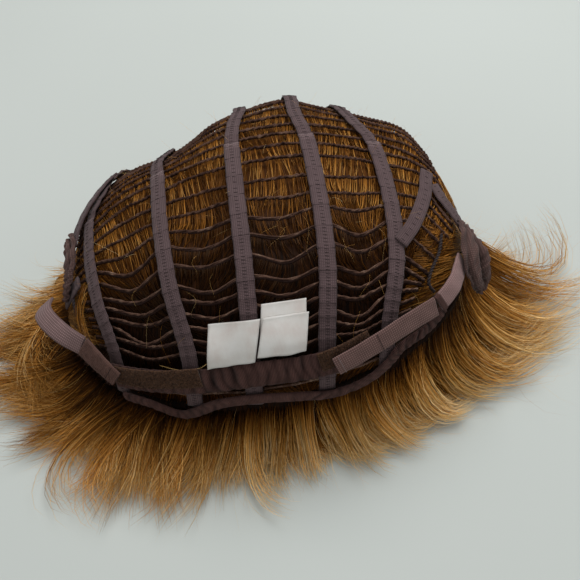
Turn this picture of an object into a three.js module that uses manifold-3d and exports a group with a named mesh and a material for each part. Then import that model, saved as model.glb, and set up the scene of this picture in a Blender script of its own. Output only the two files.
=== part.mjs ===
// A short layered wig, turned inside out and set down on its rim with the nape towards -Y.
// Its cap is a dome of hair wefts sewn ear to ear and held by tapes that run from nape to front.
// Millimetres, +Z up, floor at z = 0, origin on the floor under the middle of the outline.

import * as THREE from "three";
import { mergeVertices } from "three/addons/utils/BufferGeometryUtils.js";
import Module from "manifold-3d";

const wasm = await Module();
wasm.setup();

// The cap: two half super-ellipses, nape and front, with the poles at the ears.
const HALF_WIDTH = 93;
const NAPE_DEPTH = 70;
const FRONT_DEPTH = 88;
const CAP_HEIGHT = 58.5;
const PROFILE_POWER = 2.37; // 2 is an ellipse, more is squarer
const CROSS_POWER = 2.07;
const RIM_HEIGHT = 22.2; // rim over the floor at the middle
const RIGHT_LIFT = 15.6; // the right of the rim stands higher by this, the left lower
const CROWN_LEAN = 2.4; // the crown leans right
const CAP_TURN = -5.33; // degrees about Z
const CAP_OFFSET = { x: -10.2, y: 2 }; // the cap's middle, from the middle of the outline

// Places on the cap are angles: over runs from nape (0) to front (180), across from ear to ear.
// Dents and bulges of the soft cap, in mm, with their reach in degrees each way.
const RELIEF = [
  { over: 138, across: -26, rise: -7.8, reachOver: 30, reachAcross: 13 },
  { over: 140, across: 8, rise: 3.2, reachOver: 25, reachAcross: 8 },
  { over: 136, across: 44, rise: 2.8, reachOver: 30, reachAcross: 8 },
  { over: 102, across: 76, rise: -7.9, reachOver: 26, reachAcross: 12 },
  { over: 132, across: -58, rise: 2.5, reachOver: 25, reachAcross: 8 },
];
// Between two straps the rows sink in, from above the nape band to below the crown.
const BAY_DENT = { depth: 2.2, from: 26, full: 44, fades: 76, gone: 96 };

// Layers, as heights of their two faces over the cap's surface.
const HAIR = { low: -6, high: -3.2 };
const WEFT = { low: -2.3, high: -1.0 };
const STRAP = { low: -0.5, high: 0.5 };
const CROWN_STRAP = { low: -0.1, high: 0.9 };
const CROSS_STRAP_LOW = 0.9;
const BAND_THICK = 1.2;
const PAD = { low: 2.9, high: 4.1 };

// Hair dome: its reach across, its steps over the cap, and its steps across each bay.
const DOME = { edge: 84, steps: 16, perBay: 4 };

// Straps: where each lies across the cap at seven stations over it.
const STATIONS = { nape: 3, low: 30, mid: 60, high: 103, crown: 118, top: 132, front: 170 };
const STRAPS = [
  { name: "outer_left", nape: -42, low: -44, mid: -50, high: -54.5, crown: -49, top: -46, front: -40 },
  { name: "left", nape: -20, low: -21, mid: -25.4, high: -29, crown: -30, top: -29, front: -26 },
  { name: "middle", nape: -5, low: -5.6, mid: -6.5, high: -7.6, crown: -6.4, top: -4.2, front: -3 },
  { name: "right", nape: 12, low: 11.6, mid: 12.2, high: 11.3, crown: 9.4, top: 9.6, front: 10 },
  { name: "outer_right", nape: 28, low: 28.4, mid: 31.3, high: 30.8, crown: 26.2, top: 24.2, front: 23 },
];
const STRAP_JOINT = 106; // the back straps end here, folded, and the crown straps begin
const JOINT_GAP = 1.4; // degrees between the two
const STRAP_WIDTH = 7;
const CROWN_STRAP_WIDTH = 6.2;

// Wefts: each row's place over the cap in the middle of a bay, and how much it sags there.
const WEFTS = [
  { over: 8.4, sag: 0 },
  { over: 12, sag: 0 },
  { over: 27, sag: 2 },
  { over: 31.5, sag: 3 },
  { over: 36.5, sag: 4 },
  { over: 42, sag: 4 },
  { over: 48, sag: 4 },
  { over: 54.5, sag: 3.5 },
  { over: 63, sag: 3.5 },
  { over: 71.5, sag: 3 },
  { over: 79.5, sag: 1.5 },
  { over: 86.5, sag: 0.5 },
  { over: 91.5, sag: 0 },
  { over: 97.5, sag: 0 },
  { over: 103, sag: 0 },
  { over: 108, sag: 0 },
  { over: 113.5, sag: 0 },
  { over: 119.5, sag: 0 },
  { over: 126.5, sag: 0 },
  { over: 134, sag: 0 },
  { over: 142, sag: 0 },
  { over: 150, sag: 0 },
  { over: 157.5, sag: 0 },
  { over: 164.5, sag: 0 },
];
const BAY_SLACK = [0.3, 1.5, 0.9, 0.9, 1.3, 0]; // a bay's share of the sag, left to right
const WEFT_HEIGHT = 2;
const WEFT_STEPS_PER_BAY = { sagging: 4, taut: 3 };
// Right of the diagonal strap the rows drop towards the ear: degrees over for each degree across.
// The bend starts at across for a row at over and moves right by lean for each degree above it.
const SIDE_DROP = { slope: 1.5, across: 34, over: 60, lean: 0.4, from: 30, full: 52, fades: 90, gone: 118 };
// Where the rows end at the ears.
const WEFT_ENDS = [
  { over: 8, left: -41, right: 26 },
  { over: 25, left: -50, right: 35 },
  { over: 38, left: -54, right: 38.6 },
  { over: 54, left: -58.6, right: 42.4 },
  { over: 64, left: -61, right: 46 },
  { over: 76, left: -63, right: 52 },
  { over: 86, left: -64, right: 57 },
  { over: 104, left: -63, right: 58 },
  { over: 130, left: -60, right: 56 },
  { over: 166, left: -54, right: 54 },
];

// Tapes and bands: a row for each point of the route, with the height of the lower face.
const NAPE_BAND = [
  { over: 15.9, across: -43, lift: 0.9 },
  { over: 16.6, across: -31, lift: 0.9 },
  { over: 17.4, across: -20, lift: 0.9 },
  { over: 19.2, across: -4, lift: 0.9 },
  { over: 18.6, across: 6, lift: 0.9 },
  { over: 18.8, across: 20, lift: 0.9 },
];
const NAPE_BAND_WIDTH = 12;
const NAPE_BAND_THICK = 1;
const NAPE_GATHERS = 11;
const GATHER_RISE = 0.6;
const RIM_TAPE = [
  { over: 3.6, across: -41, lift: 0.9 },
  { over: 3.2, across: -33, lift: 0.9 },
  { over: 0.2, across: -23, lift: 0.9 },
  { over: 6.4, across: -13, lift: 0.9 },
  { over: 7.4, across: -4, lift: 0.9 },
  { over: 5, across: 5, lift: 0.9 },
  { over: 1.8, across: 13.6, lift: 0.9 },
  { over: 2.8, across: 23, lift: 0.9 },
  { over: 7.5, across: 28.2, lift: 0.9 },
  { over: 12.6, across: 31.4, lift: 0.9 },
  { over: 14.2, across: 35.4, lift: 0.9 },
  { over: 15, across: 39.4, lift: 0.9 },
  { over: 18, across: 43.6, lift: 0.9 },
  { over: 22, across: 46.6, lift: 0.9 },
];
const RIM_TAPE_WIDTH = 5.6;
const FRONT_BAND = [
  { over: 173.5, across: -56, lift: 1.4 },
  { over: 173.5, across: -20, lift: 1.4 },
  { over: 173.5, across: 20, lift: 1.4 },
  { over: 173.5, across: 56, lift: 1.4 },
];
const FRONT_BAND_WIDTH = 9;

const SIDE_TAPES = [
  {
    name: "diagonal_strap_right",
    width: 6.2,
    lift: CROSS_STRAP_LOW,
    route: [
      { over: 97, across: 47.5 },
      { over: 83.6, across: 42.8 },
      { over: 71, across: 37.4 },
      { over: 63, across: 32.4 },
    ],
  },
  {
    name: "diagonal_strap_left",
    width: 7,
    lift: 1.6,
    route: [
      { over: 128, across: -44 },
      { over: 117, across: -51 },
      { over: 104, across: -59 },
      { over: 96, across: -61 },
    ],
  },
  {
    name: "side_strap_right",
    width: 7,
    lift: STRAP.low,
    route: [
      { over: 93, across: 50 },
      { over: 86, across: 56 },
      { over: 78, across: 62 },
      { over: 69, across: 66 },
    ],
  },
  {
    name: "side_strap_left",
    width: 7,
    lift: STRAP.low,
    route: [
      { over: 74, across: -59 },
      { over: 70, across: -63 },
      { over: 66, across: -67 },
      { over: 63, across: -70 },
    ],
  },
  {
    name: "ear_binding_right",
    width: 2.4,
    lift: STRAP.low,
    route: [
      { over: 66, across: 48.6 },
      { over: 55.6, across: 46.4 },
      { over: 46.2, across: 42.4 },
      { over: 40.2, across: 41.4 },
      { over: 34, across: 43.5 },
    ],
  },
  {
    name: "ear_binding_left",
    width: 2.4,
    lift: STRAP.low,
    route: [
      { over: 62.2, across: -62.6 },
      { over: 48, across: -60 },
      { over: 38, across: -56.5 },
      { over: 28, across: -53 },
    ],
  },
];
const SIDE_TAPE_THICK = 1;
const STEPS = { back: 14, crown: 9, side: 6, rim: 25, front: 14, pad: 6, ear: 10, adjuster: 9, label: 4 };

// Ear tabs: gathered tongues that flare off the cap over each ear.
// Here and below, roll is how far a tape turns about its own line, in degrees, from its start on.
const FLAT = { from: 0, to: 0, by: 1 };
const EAR_TABS = [
  {
    name: "ear_tab_right",
    roll: { from: 2, to: 16, by: 0.35 },
    route: [
      { over: 72, across: 63.6, lift: 0.9, width: 10 },
      { over: 52, across: 59.4, lift: 5.6, width: 15 },
      { over: 34, across: 61, lift: 6.2, width: 15.5 },
      { over: 18, across: 66, lift: 5.6, width: 11 },
      { over: 5, across: 67, lift: 5, width: 5 },
    ],
  },
  {
    name: "ear_tab_left",
    roll: FLAT,
    route: [
      { over: 104, across: -62, lift: 3, width: 7 },
      { over: 94, across: -61, lift: 3, width: 10 },
      { over: 82, across: -62, lift: 2.2, width: 9 },
      { over: 72, across: -64, lift: 1.6, width: 6 },
      { over: 62, across: -66, lift: 1.2, width: 3 },
    ],
  },
];
const EAR_TAB_THICK = 1.6;

// Size adjusters: an elastic from the ear tab, and the hooked end tab that sticks to the pad.
const ADJUSTER_WIDTH = 8.6;
const ADJUSTER_THICK = 1.6;
const ADJUSTERS = [
  {
    name: "adjuster_right_elastic",
    roll: FLAT,
    route: [
      { over: 29.8, across: 42, lift: 4.6 },
      { over: 36, across: 48, lift: 4.6 },
      { over: 41, across: 52.6, lift: 2.4 },
      { over: 45.6, across: 56.6, lift: 0.8 },
    ],
  },
  {
    name: "adjuster_right_tab",
    roll: FLAT,
    route: [
      { over: 18.6, across: 13, lift: 4.9 },
      { over: 23.6, across: 23.5, lift: 4.7 },
      { over: 27.4, across: 32, lift: 4.6 },
      { over: 29.6, across: 40.6, lift: 4.6 },
    ],
  },
  {
    name: "adjuster_left_elastic",
    roll: { from: 15, to: 40, by: 0.4 },
    route: [
      { over: 32, across: -51.8, lift: 5.5 },
      { over: 40, across: -58, lift: 10 },
      { over: 50, across: -64, lift: 12 },
      { over: 60, across: -70.5, lift: 8 },
    ],
  },
  {
    name: "adjuster_left_tab",
    roll: { from: 4, to: 15, by: 1 },
    route: [
      { over: 17, across: -40.4, lift: 4.8 },
      { over: 21.5, across: -44, lift: 4.8 },
      { over: 31.6, across: -51.4, lift: 5.4 },
    ],
  },
];

// Felt pads on the nape band, with their width along the nape-to-front way.
const FELT_PADS = [
  {
    name: "felt_pad_left",
    width: 9,
    route: [
      { over: 17.6, across: -41.4 },
      { over: 18.6, across: -30 },
      { over: 20.5, across: -17.5 },
    ],
  },
  {
    name: "felt_pad_right",
    width: 9,
    route: [
      { over: 20.5, across: 9.4 },
      { over: 22, across: 15 },
      { over: 25, across: 22 },
    ],
  },
];

// Labels: the four corners of each satin tag, as angles on the cap.
const LABEL_BACK_LOW = 1.5;
const LABELS = [
  {
    name: "label_left",
    top: { over: 41.4, left: -15.2, right: -3.2 },
    bottom: { over: 25.2, left: -15.6, right: -4.6 },
    lift: PAD.low,
  },
  {
    name: "label_right",
    top: { over: 41.4, left: -2.7, right: 7.2 },
    bottom: { over: 26.6, left: -4.1, right: 6.4 },
    lift: PAD.low,
  },
  {
    name: "label_back",
    top: { over: 46.6, left: -3, right: 6.8 },
    bottom: { over: 31, left: -3.6, right: 6.6 },
    lift: LABEL_BACK_LOW,
  },
];
const LABEL_THICK = 1;

// Hair skirt: a backing ring under the rim and locks that fan out to the floor.
const RING_THICK = 4.5;
const RING_STEPS = 40;
const RING_UNDER_RIM = 0.5;
const LOCKS = 30;
const LOCK_STEPS = 6;
const LOCK_HALF_WIDTH = 12;
const LOCK_TIP_HALF_WIDTH = 2;
const LOCK_TAPER = 2.2; // how late along its length a lock narrows
const LOCK_UNDER_RIM = 7; // the locks leave the ring this far under the rim
const LOCK_LEAST_ROOT = 3.4;
const LOCK_LOW = 3.2; // thickness where a lock lies on the floor
const LOCK_LANDS = 0.68; // share of the reach at which it lies down
const LOCK_FALL = 1.6; // how steeply it falls at first
const TIP_THICK = 1.2;
// How far the hair reaches past the rim, round the rim from the left ear by the nape.
const REACH = [
  { turn: 0, reach: 48, flip: 5 },
  { turn: 30, reach: 43, flip: 4 },
  { turn: 55, reach: 43, flip: 3 },
  { turn: 75, reach: 38, flip: 3 },
  { turn: 92, reach: 28, flip: 3 },
  { turn: 115, reach: 28, flip: 4 },
  { turn: 135, reach: 28, flip: 5 },
  { turn: 150, reach: 33, flip: 5 },
  { turn: 163, reach: 46, flip: 7 },
  { turn: 178, reach: 62, flip: 10 },
  { turn: 187, reach: 60, flip: 16 },
  { turn: 197, reach: 34, flip: 10 },
  { turn: 207, reach: 16, flip: 5 },
  { turn: 240, reach: 17, flip: 4 },
  { turn: 270, reach: 18, flip: 4 },
  { turn: 300, reach: 18, flip: 4 },
  { turn: 332, reach: 16, flip: 4 },
  { turn: 348, reach: 32, flip: 5 },
  { turn: 360, reach: 48, flip: 5 },
];
const REACH_SPREAD = 0.14; // long and short locks alternate by this share
const LOCK_BEND = 0.16; // sideways bend of a lock, as a share of its reach
const LOCK_EDGE = 0.55; // height of a lock's edges, as a share of its crest
const LOCK_INSIDE = 1.5; // how deep a lock's root stands in the ring
const LOCK_CYCLE = { length: 2.4, bend: 1.7 }; // radians from one lock to the next

// Finishes.
const COLOURS = {
  hair: { color: 0x8a5a26, roughness: 0.55 },
  weft: { color: 0x4a2e24, roughness: 0.8 },
  strap: { color: 0x6c5e64, roughness: 0.85 },
  band: { color: 0x544543, roughness: 0.9 },
  felt: { color: 0x584638, roughness: 1 },
  elastic: { color: 0x877378, roughness: 0.85 },
  satin: { color: 0xe1dcd6, roughness: 0.5 },
};

const radians = THREE.MathUtils.degToRad;
const signedPower = (value, power) => Math.sign(value) * Math.abs(value) ** power;
const smooth = (value, from, to) => THREE.MathUtils.smoothstep(value, from, to);
const between = (at, zone) => smooth(at, zone.from, zone.full) * (1 - smooth(at, zone.fades, zone.gone));

// A column of a table between its rows, on a smooth curve through them.
function fromTable(rows, key, at, column) {
  const last = rows.length - 1;
  let k = 0;
  while (k < last - 1 && at > rows[k + 1][key]) k += 1;
  const slope = (i) => {
    const before = rows[Math.max(i - 1, 0)];
    const after = rows[Math.min(i + 1, last)];
    return (after[column] - before[column]) / (after[key] - before[key]);
  };
  const span = rows[k + 1][key] - rows[k][key];
  const t = THREE.MathUtils.clamp((at - rows[k][key]) / span, 0, 1);
  const start = rows[k][column] * (1 + 2 * t) * (1 - t) ** 2 + slope(k) * span * t * (1 - t) ** 2;
  const end = rows[k + 1][column] * t * t * (3 - 2 * t) + slope(k + 1) * span * t * t * (t - 1);
  return start + end;
}

const STRAP_LINES = STRAPS.map((strap) =>
  Object.entries(STATIONS).map(([station, over]) => ({ over, across: strap[station] })),
);
const strapAcross = (k, over) => fromTable(STRAP_LINES[k], "over", over, "across");

// The bay that a place lies in, counted from the left, and how deep into it from 0 to 1.
function bayAt(over, across) {
  const lines = STRAP_LINES.map((_, k) => strapAcross(k, over));
  const bay = lines.filter((line) => line < across).length;
  if (bay === 0 || bay === lines.length) return { bay, depth: 0 };
  const share = (across - lines[bay - 1]) / (lines[bay] - lines[bay - 1]);
  return { bay, depth: Math.sin(Math.PI * share) ** 2 };
}

// How far the soft cap stands off its even form.
function reliefAt(over, across) {
  let rise = 0;
  for (const row of RELIEF) {
    const apart = ((over - row.over) / row.reachOver) ** 2 + ((across - row.across) / row.reachAcross) ** 2;
    rise += row.rise * Math.exp(-apart);
  }
  return rise - BAY_DENT.depth * between(over, BAY_DENT) * bayAt(over, across).depth;
}

// The cap's even form. Below the rim it goes straight down, a millimetre for a degree.
function evenCap(over, across) {
  const turnOver = radians(Math.max(over, 0));
  const turnAcross = radians(across);
  const girth = Math.abs(Math.cos(turnAcross)) ** (2 / CROSS_POWER);
  const depth = Math.cos(turnOver) > 0 ? NAPE_DEPTH : FRONT_DEPTH;
  const flatX = HALF_WIDTH * signedPower(Math.sin(turnAcross), 2 / CROSS_POWER);
  const flatY = -girth * depth * signedPower(Math.cos(turnOver), 2 / PROFILE_POWER);
  const height = girth * CAP_HEIGHT * Math.abs(Math.sin(turnOver)) ** (2 / PROFILE_POWER);
  const part = height / CAP_HEIGHT;
  const x = flatX + CROWN_LEAN * part ** 2;
  const z = height + RIGHT_LIFT * (flatX / HALF_WIDTH) * (1 - 0.5 * part);
  const turn = radians(CAP_TURN);
  return new THREE.Vector3(
    x * Math.cos(turn) + flatY * Math.sin(turn) + CAP_OFFSET.x,
    -x * Math.sin(turn) + flatY * Math.cos(turn) + CAP_OFFSET.y,
    z + RIM_HEIGHT + Math.min(over, 0),
  );
}

// The way out of the cap at a place.
function outward(over, across) {
  const step = 0.6;
  const a = THREE.MathUtils.clamp(over, 1, 177.5);
  const b = THREE.MathUtils.clamp(across, -88, 88);
  const alongOver = evenCap(a + step, b).sub(evenCap(a - step, b));
  const alongAcross = evenCap(a, b + step).sub(evenCap(a, b - step));
  return alongAcross.cross(alongOver).normalize();
}

function onCap(over, across, lift) {
  const way = outward(over, across);
  return evenCap(over, across).addScaledVector(way, lift + reliefAt(over, across));
}

// A closed solid over a grid of places: at(u, v, side) gives a point of its lower or upper face.
function slab(steps, columns, at, closed = false) {
  const positions = [];
  const faces = [];
  const rings = closed ? steps : steps + 1;
  const id = (i, j, side) => ((i % rings) * (columns + 1) + j) * 2 + side;
  for (let i = 0; i < rings; i += 1)
    for (let j = 0; j <= columns; j += 1)
      for (const side of [0, 1]) positions.push(...at(i / steps, j / columns, side).toArray());
  const quad = (a, b, c, d) => faces.push(a, b, c, a, c, d);
  for (let i = 0; i < steps; i += 1) {
    for (let j = 0; j < columns; j += 1) {
      quad(id(i, j, 1), id(i + 1, j, 1), id(i + 1, j + 1, 1), id(i, j + 1, 1));
      quad(id(i, j, 0), id(i, j + 1, 0), id(i + 1, j + 1, 0), id(i + 1, j, 0));
    }
    quad(id(i, 0, 0), id(i + 1, 0, 0), id(i + 1, 0, 1), id(i, 0, 1));
    quad(id(i, columns, 0), id(i, columns, 1), id(i + 1, columns, 1), id(i + 1, columns, 0));
  }
  for (let j = 0; j < columns && !closed; j += 1) {
    quad(id(0, j, 0), id(0, j, 1), id(0, j + 1, 1), id(0, j + 1, 0));
    quad(id(steps, j, 0), id(steps, j + 1, 0), id(steps, j + 1, 1), id(steps, j, 1));
  }
  const geometry = new THREE.BufferGeometry();
  geometry.setAttribute("position", new THREE.Float32BufferAttribute(positions, 3));
  geometry.setIndex(faces);
  return facingOut(geometry);
}

// Turns every face of a closed geometry round if they point inwards.
function facingOut(geometry) {
  const at = geometry.attributes.position;
  const index = geometry.index;
  const corner = [0, 1, 2].map(() => new THREE.Vector3());
  let volume = 0;
  for (let i = 0; i < index.count; i += 3) {
    corner.forEach((point, k) => point.fromBufferAttribute(at, index.getX(i + k)));
    volume += corner[0].dot(corner[1].clone().cross(corner[2]));
  }
  if (volume > 0) return geometry;
  geometry.setIndex(Array.from(index.array).reverse());
  return geometry;
}

// A tape of even or changing width along a route on the cap.
function tape(route, steps, thick, widthAt, riseAt = () => 0, rollAt = () => 0) {
  const curve = new THREE.CatmullRomCurve3(
    route.map((row) => new THREE.Vector3(row.over, row.across, row.lift)),
    false,
    "centripetal",
  );
  const place = (u) => {
    const spot = curve.getPointAt(THREE.MathUtils.clamp(u, 0, 1));
    return { spot, point: onCap(spot.x, spot.y, spot.z) };
  };
  return slab(steps, 1, (u, v, side) => {
    const { spot, point } = place(u);
    const near = 0.01;
    const along = place(u + near).point.sub(place(u - near).point);
    const up = outward(spot.x, spot.y);
    const sideways = up.clone().cross(along).normalize();
    const line = along.normalize();
    const roll = THREE.MathUtils.degToRad(rollAt(u));
    up.applyAxisAngle(line, roll);
    sideways.applyAxisAngle(line, roll);
    const width = widthAt(u);
    return point
      .addScaledVector(sideways, (v - 0.5) * width)
      .addScaledVector(up, side * thick + riseAt(u));
  });
}

const even = (width) => () => width;
const lifted = (route, lift) => route.map((row) => ({ ...row, lift }));

// A strap along its line from one place over the cap to another.
function strapTape(k, from, to, width, steps, layer) {
  const route = [];
  for (let i = 0; i <= steps; i += 1) {
    const over = from + ((to - from) * i) / steps;
    route.push({ over, across: strapAcross(k, over), lift: layer.low });
  }
  return tape(route, steps, layer.high - layer.low, even(width));
}

// Places across the cap at which rows and hair bend: the straps and even steps between them.
function acrossStops(over, left, right, perBay) {
  const lines = STRAP_LINES.map((_, k) => strapAcross(k, over)).filter((a) => a > left + 1 && a < right - 1);
  const marks = [left, ...lines, right];
  const stops = [];
  marks.slice(1).forEach((mark, k) => {
    for (let i = 0; i < perBay; i += 1) stops.push(marks[k] + ((mark - marks[k]) * i) / perBay);
  });
  return [...stops, right];
}

// A weft: a flat cord across the cap that sags between the straps and drops at the right ear.
function weftGeometry({ over, sag }) {
  const left = fromTable(WEFT_ENDS, "over", over, "left");
  const right = fromTable(WEFT_ENDS, "over", over, "right");
  const perBay = sag > 1 ? WEFT_STEPS_PER_BAY.sagging : WEFT_STEPS_PER_BAY.taut;
  const stops = acrossStops(over, left, right, perBay);
  const slope = SIDE_DROP.slope * between(over, SIDE_DROP);
  const overAt = (across) => {
    const { bay, depth } = bayAt(over, across);
    const held = sag * (1 - depth * BAY_SLACK[bay]);
    const bend = SIDE_DROP.across + SIDE_DROP.lean * Math.max(over + held - SIDE_DROP.over, 0);
    return over + held - slope * Math.max(across - bend, 0);
  };
  return slab(stops.length - 1, 1, (u, v, side) => {
    const across = stops[Math.round(u * (stops.length - 1))];
    const at = overAt(across);
    const point = onCap(at, across, side ? WEFT.high : WEFT.low);
    const uphill = onCap(at + 1, across, 0).sub(onCap(at - 1, across, 0)).normalize();
    return point.addScaledVector(uphill, (v - 0.5) * WEFT_HEIGHT);
  });
}

// The hair under the rows: a hollow dome from rim to rim, open below, with an arch at each ear.
function domeGeometry() {
  const columns = DOME.perBay * (STRAPS.length + 1);
  return slab(DOME.steps, columns, (u, v, side) => {
    const over = 180 * u;
    const stops = acrossStops(over, -DOME.edge, DOME.edge, DOME.perBay);
    return onCap(over, stops[Math.round(v * columns)], side ? HAIR.high : HAIR.low);
  });
}

// A place on the rim by its turn round it: 0 left ear, 90 nape, 180 right ear, 270 front.
function rimPlace(turn) {
  const round = ((turn % 360) + 360) % 360;
  return round < 180 ? evenCap(0, round - 90) : evenCap(180, 270 - round);
}

// The level way out of the rim.
function rimOutward(turn) {
  const along = rimPlace(turn + 2).sub(rimPlace(turn - 2));
  return new THREE.Vector3(along.y, -along.x, 0).normalize();
}

function ringGeometry() {
  const at = (u, v, side) => {
    const turn = 360 * u;
    const rim = rimPlace(turn);
    const top = rim.z - RING_UNDER_RIM;
    const point = rim.addScaledVector(rimOutward(turn), HAIR.high - RING_THICK * (1 - side));
    return point.setZ(v * top);
  };
  return slab(RING_STEPS, 1, at, true);
}

// One lock: a tapering lens that falls from the ring, lies on the floor and flips up at its tip.
function lockGeometry(k) {
  const turn = (360 * (k + 0.5)) / LOCKS;
  const rim = rimPlace(turn);
  const way = rimOutward(turn);
  const sideways = new THREE.Vector3(-way.y, way.x, 0);
  const longer = 1 + REACH_SPREAD * Math.sin(LOCK_CYCLE.length * k);
  const reach = fromTable(REACH, "turn", turn, "reach") * longer;
  const flip = fromTable(REACH, "turn", turn, "flip");
  const bend = reach * LOCK_BEND * Math.sin(LOCK_CYCLE.bend * k);
  const root = Math.max(rim.z - LOCK_UNDER_RIM, LOCK_LEAST_ROOT);
  return slab(LOCK_STEPS, 2, (u, v, side) => {
    const fall = Math.min(u / LOCK_LANDS, 1);
    const tip = Math.max(u - LOCK_LANDS, 0) / (1 - LOCK_LANDS);
    const thick = THREE.MathUtils.lerp(LOCK_LOW, TIP_THICK, tip);
    const under = flip * tip ** 2;
    const crest = under + thick + (root - LOCK_LOW) * (1 - fall) ** LOCK_FALL;
    const half = THREE.MathUtils.lerp(LOCK_HALF_WIDTH, LOCK_TIP_HALF_WIDTH, u ** LOCK_TAPER);
    const edge = v === 0.5 ? 1 : LOCK_EDGE;
    const out = HAIR.high - LOCK_INSIDE + (reach - HAIR.high) * u;
    const point = rim.clone().addScaledVector(way, out);
    point.addScaledVector(sideways, (v - 0.5) * 2 * half + bend * u ** 2);
    return point.setZ(side ? under + (crest - under) * edge : under);
  });
}

// Joining solids.
function solidOf(geometry) {
  const merged = mergeVertices(geometry, 1e-4);
  const vertProperties = new Float32Array(merged.attributes.position.array);
  const triVerts = new Uint32Array(merged.index.array);
  return new wasm.Manifold(new wasm.Mesh({ numProp: 3, vertProperties, triVerts }));
}

function joined(geometries) {
  const mesh = geometries
    .map(solidOf)
    .reduce((sum, solid) => sum.add(solid))
    .getMesh();
  const geometry = new THREE.BufferGeometry();
  geometry.setAttribute("position", new THREE.BufferAttribute(new Float32Array(mesh.vertProperties), 3));
  geometry.setIndex(new THREE.BufferAttribute(new Uint32Array(mesh.triVerts), 1));
  return geometry;
}

const wig = new THREE.Group();
wig.name = "short_layered_wig";

function addPiece(name, geometry, finish) {
  geometry.computeVertexNormals();
  const mesh = new THREE.Mesh(geometry, new THREE.MeshStandardMaterial({ metalness: 0, ...COLOURS[finish] }));
  mesh.name = name;
  wig.add(mesh);
}

// Hair
addPiece("hair_dome", domeGeometry(), "hair");
const locks = Array.from({ length: LOCKS }, (_, k) => lockGeometry(k));
addPiece("hair_skirt", joined([ringGeometry(), ...locks]), "hair");

// Rows
WEFTS.forEach((row, k) => {
  addPiece(`weft_${String(k + 1).padStart(2, "0")}`, weftGeometry(row), "weft");
});

// Straps
STRAPS.forEach((strap, k) => {
  const back = strapTape(k, STATIONS.nape, STRAP_JOINT, STRAP_WIDTH, STEPS.back, STRAP);
  const start = STRAP_JOINT + JOINT_GAP;
  const crown = strapTape(k, start, STATIONS.front, CROWN_STRAP_WIDTH, STEPS.crown, CROWN_STRAP);
  addPiece(`strap_${strap.name}_back`, back, "strap");
  addPiece(`strap_${strap.name}_crown`, crown, "strap");
});
SIDE_TAPES.forEach(({ name, width, lift, route }) => {
  addPiece(name, tape(lifted(route, lift), STEPS.side, SIDE_TAPE_THICK, even(width)), "strap");
});

// Bands
const gather = (u) => GATHER_RISE * Math.sin(Math.PI * NAPE_GATHERS * u) ** 2;
const napeBand = tape(NAPE_BAND, 2 * NAPE_GATHERS, NAPE_BAND_THICK, even(NAPE_BAND_WIDTH), gather);
addPiece("nape_band", napeBand, "band");
addPiece("rim_tape", tape(RIM_TAPE, STEPS.rim, BAND_THICK, even(RIM_TAPE_WIDTH)), "band");
addPiece("front_band", tape(FRONT_BAND, STEPS.front, BAND_THICK, even(FRONT_BAND_WIDTH)), "band");

// Pads, ear tabs and adjusters
FELT_PADS.forEach(({ name, width, route }) => {
  addPiece(name, tape(lifted(route, PAD.low), STEPS.pad, PAD.high - PAD.low, even(width)), "felt");
});
const rolling = ({ from, to, by }) => (u) => THREE.MathUtils.lerp(from, to, THREE.MathUtils.smoothstep(u, 0, by));
EAR_TABS.forEach(({ name, route, roll }) => {
  const width = (u) => {
    const at = u * (route.length - 1);
    const k = Math.min(Math.floor(at), route.length - 2);
    return THREE.MathUtils.lerp(route[k].width, route[k + 1].width, at - k);
  };
  addPiece(name, tape(route, STEPS.ear, EAR_TAB_THICK, width, () => 0, rolling(roll)), "strap");
});
ADJUSTERS.forEach(({ name, route, roll }) => {
  const geometry = tape(route, STEPS.adjuster, ADJUSTER_THICK, even(ADJUSTER_WIDTH), () => 0, rolling(roll));
  addPiece(name, geometry, "elastic");
});

// Labels
LABELS.forEach(({ name, top, bottom, lift }) => {
  const geometry = slab(STEPS.label, STEPS.label, (u, v, side) => {
    const over = THREE.MathUtils.lerp(bottom.over, top.over, u);
    const left = THREE.MathUtils.lerp(bottom.left, top.left, u);
    const right = THREE.MathUtils.lerp(bottom.right, top.right, u);
    return onCap(over, THREE.MathUtils.lerp(left, right, v), lift + side * LABEL_THICK);
  });
  addPiece(name, geometry, "satin");
});

export default wig;
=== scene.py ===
# Short layered wig, turned inside out and resting on its hair, nape towards the camera.
# Metres, +Z up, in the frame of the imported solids. Places on the cap are angles in degrees.
import math

import bpy
import numpy as np
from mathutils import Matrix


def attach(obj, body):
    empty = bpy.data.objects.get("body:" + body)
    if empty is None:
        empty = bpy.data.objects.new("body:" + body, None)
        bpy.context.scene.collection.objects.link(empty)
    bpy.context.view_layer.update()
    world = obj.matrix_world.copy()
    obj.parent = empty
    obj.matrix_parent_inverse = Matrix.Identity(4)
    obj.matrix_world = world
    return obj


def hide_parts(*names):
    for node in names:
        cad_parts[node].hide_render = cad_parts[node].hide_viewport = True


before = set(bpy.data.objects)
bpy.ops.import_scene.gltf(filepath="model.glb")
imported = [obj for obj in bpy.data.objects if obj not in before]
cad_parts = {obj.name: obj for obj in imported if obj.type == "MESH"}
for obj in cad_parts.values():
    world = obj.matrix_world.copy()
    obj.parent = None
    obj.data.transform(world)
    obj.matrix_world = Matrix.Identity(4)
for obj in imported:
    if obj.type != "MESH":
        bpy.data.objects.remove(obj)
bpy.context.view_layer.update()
scene = bpy.context.scene
mm = 0.001
print("frame loaded:", len(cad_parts), "solids")


# Camera

camera = {
    "target": (1.48 * mm, -24.79 * mm, 45 * mm),
    "elevation": 50.82,  # degrees above the horizon, looking along +Y
    "distance": 372 * mm,
    "focalPixels": 891,
    "imagePixels": 580,
    "sensor": 36,
    "nearest": 10 * mm,
}


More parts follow.
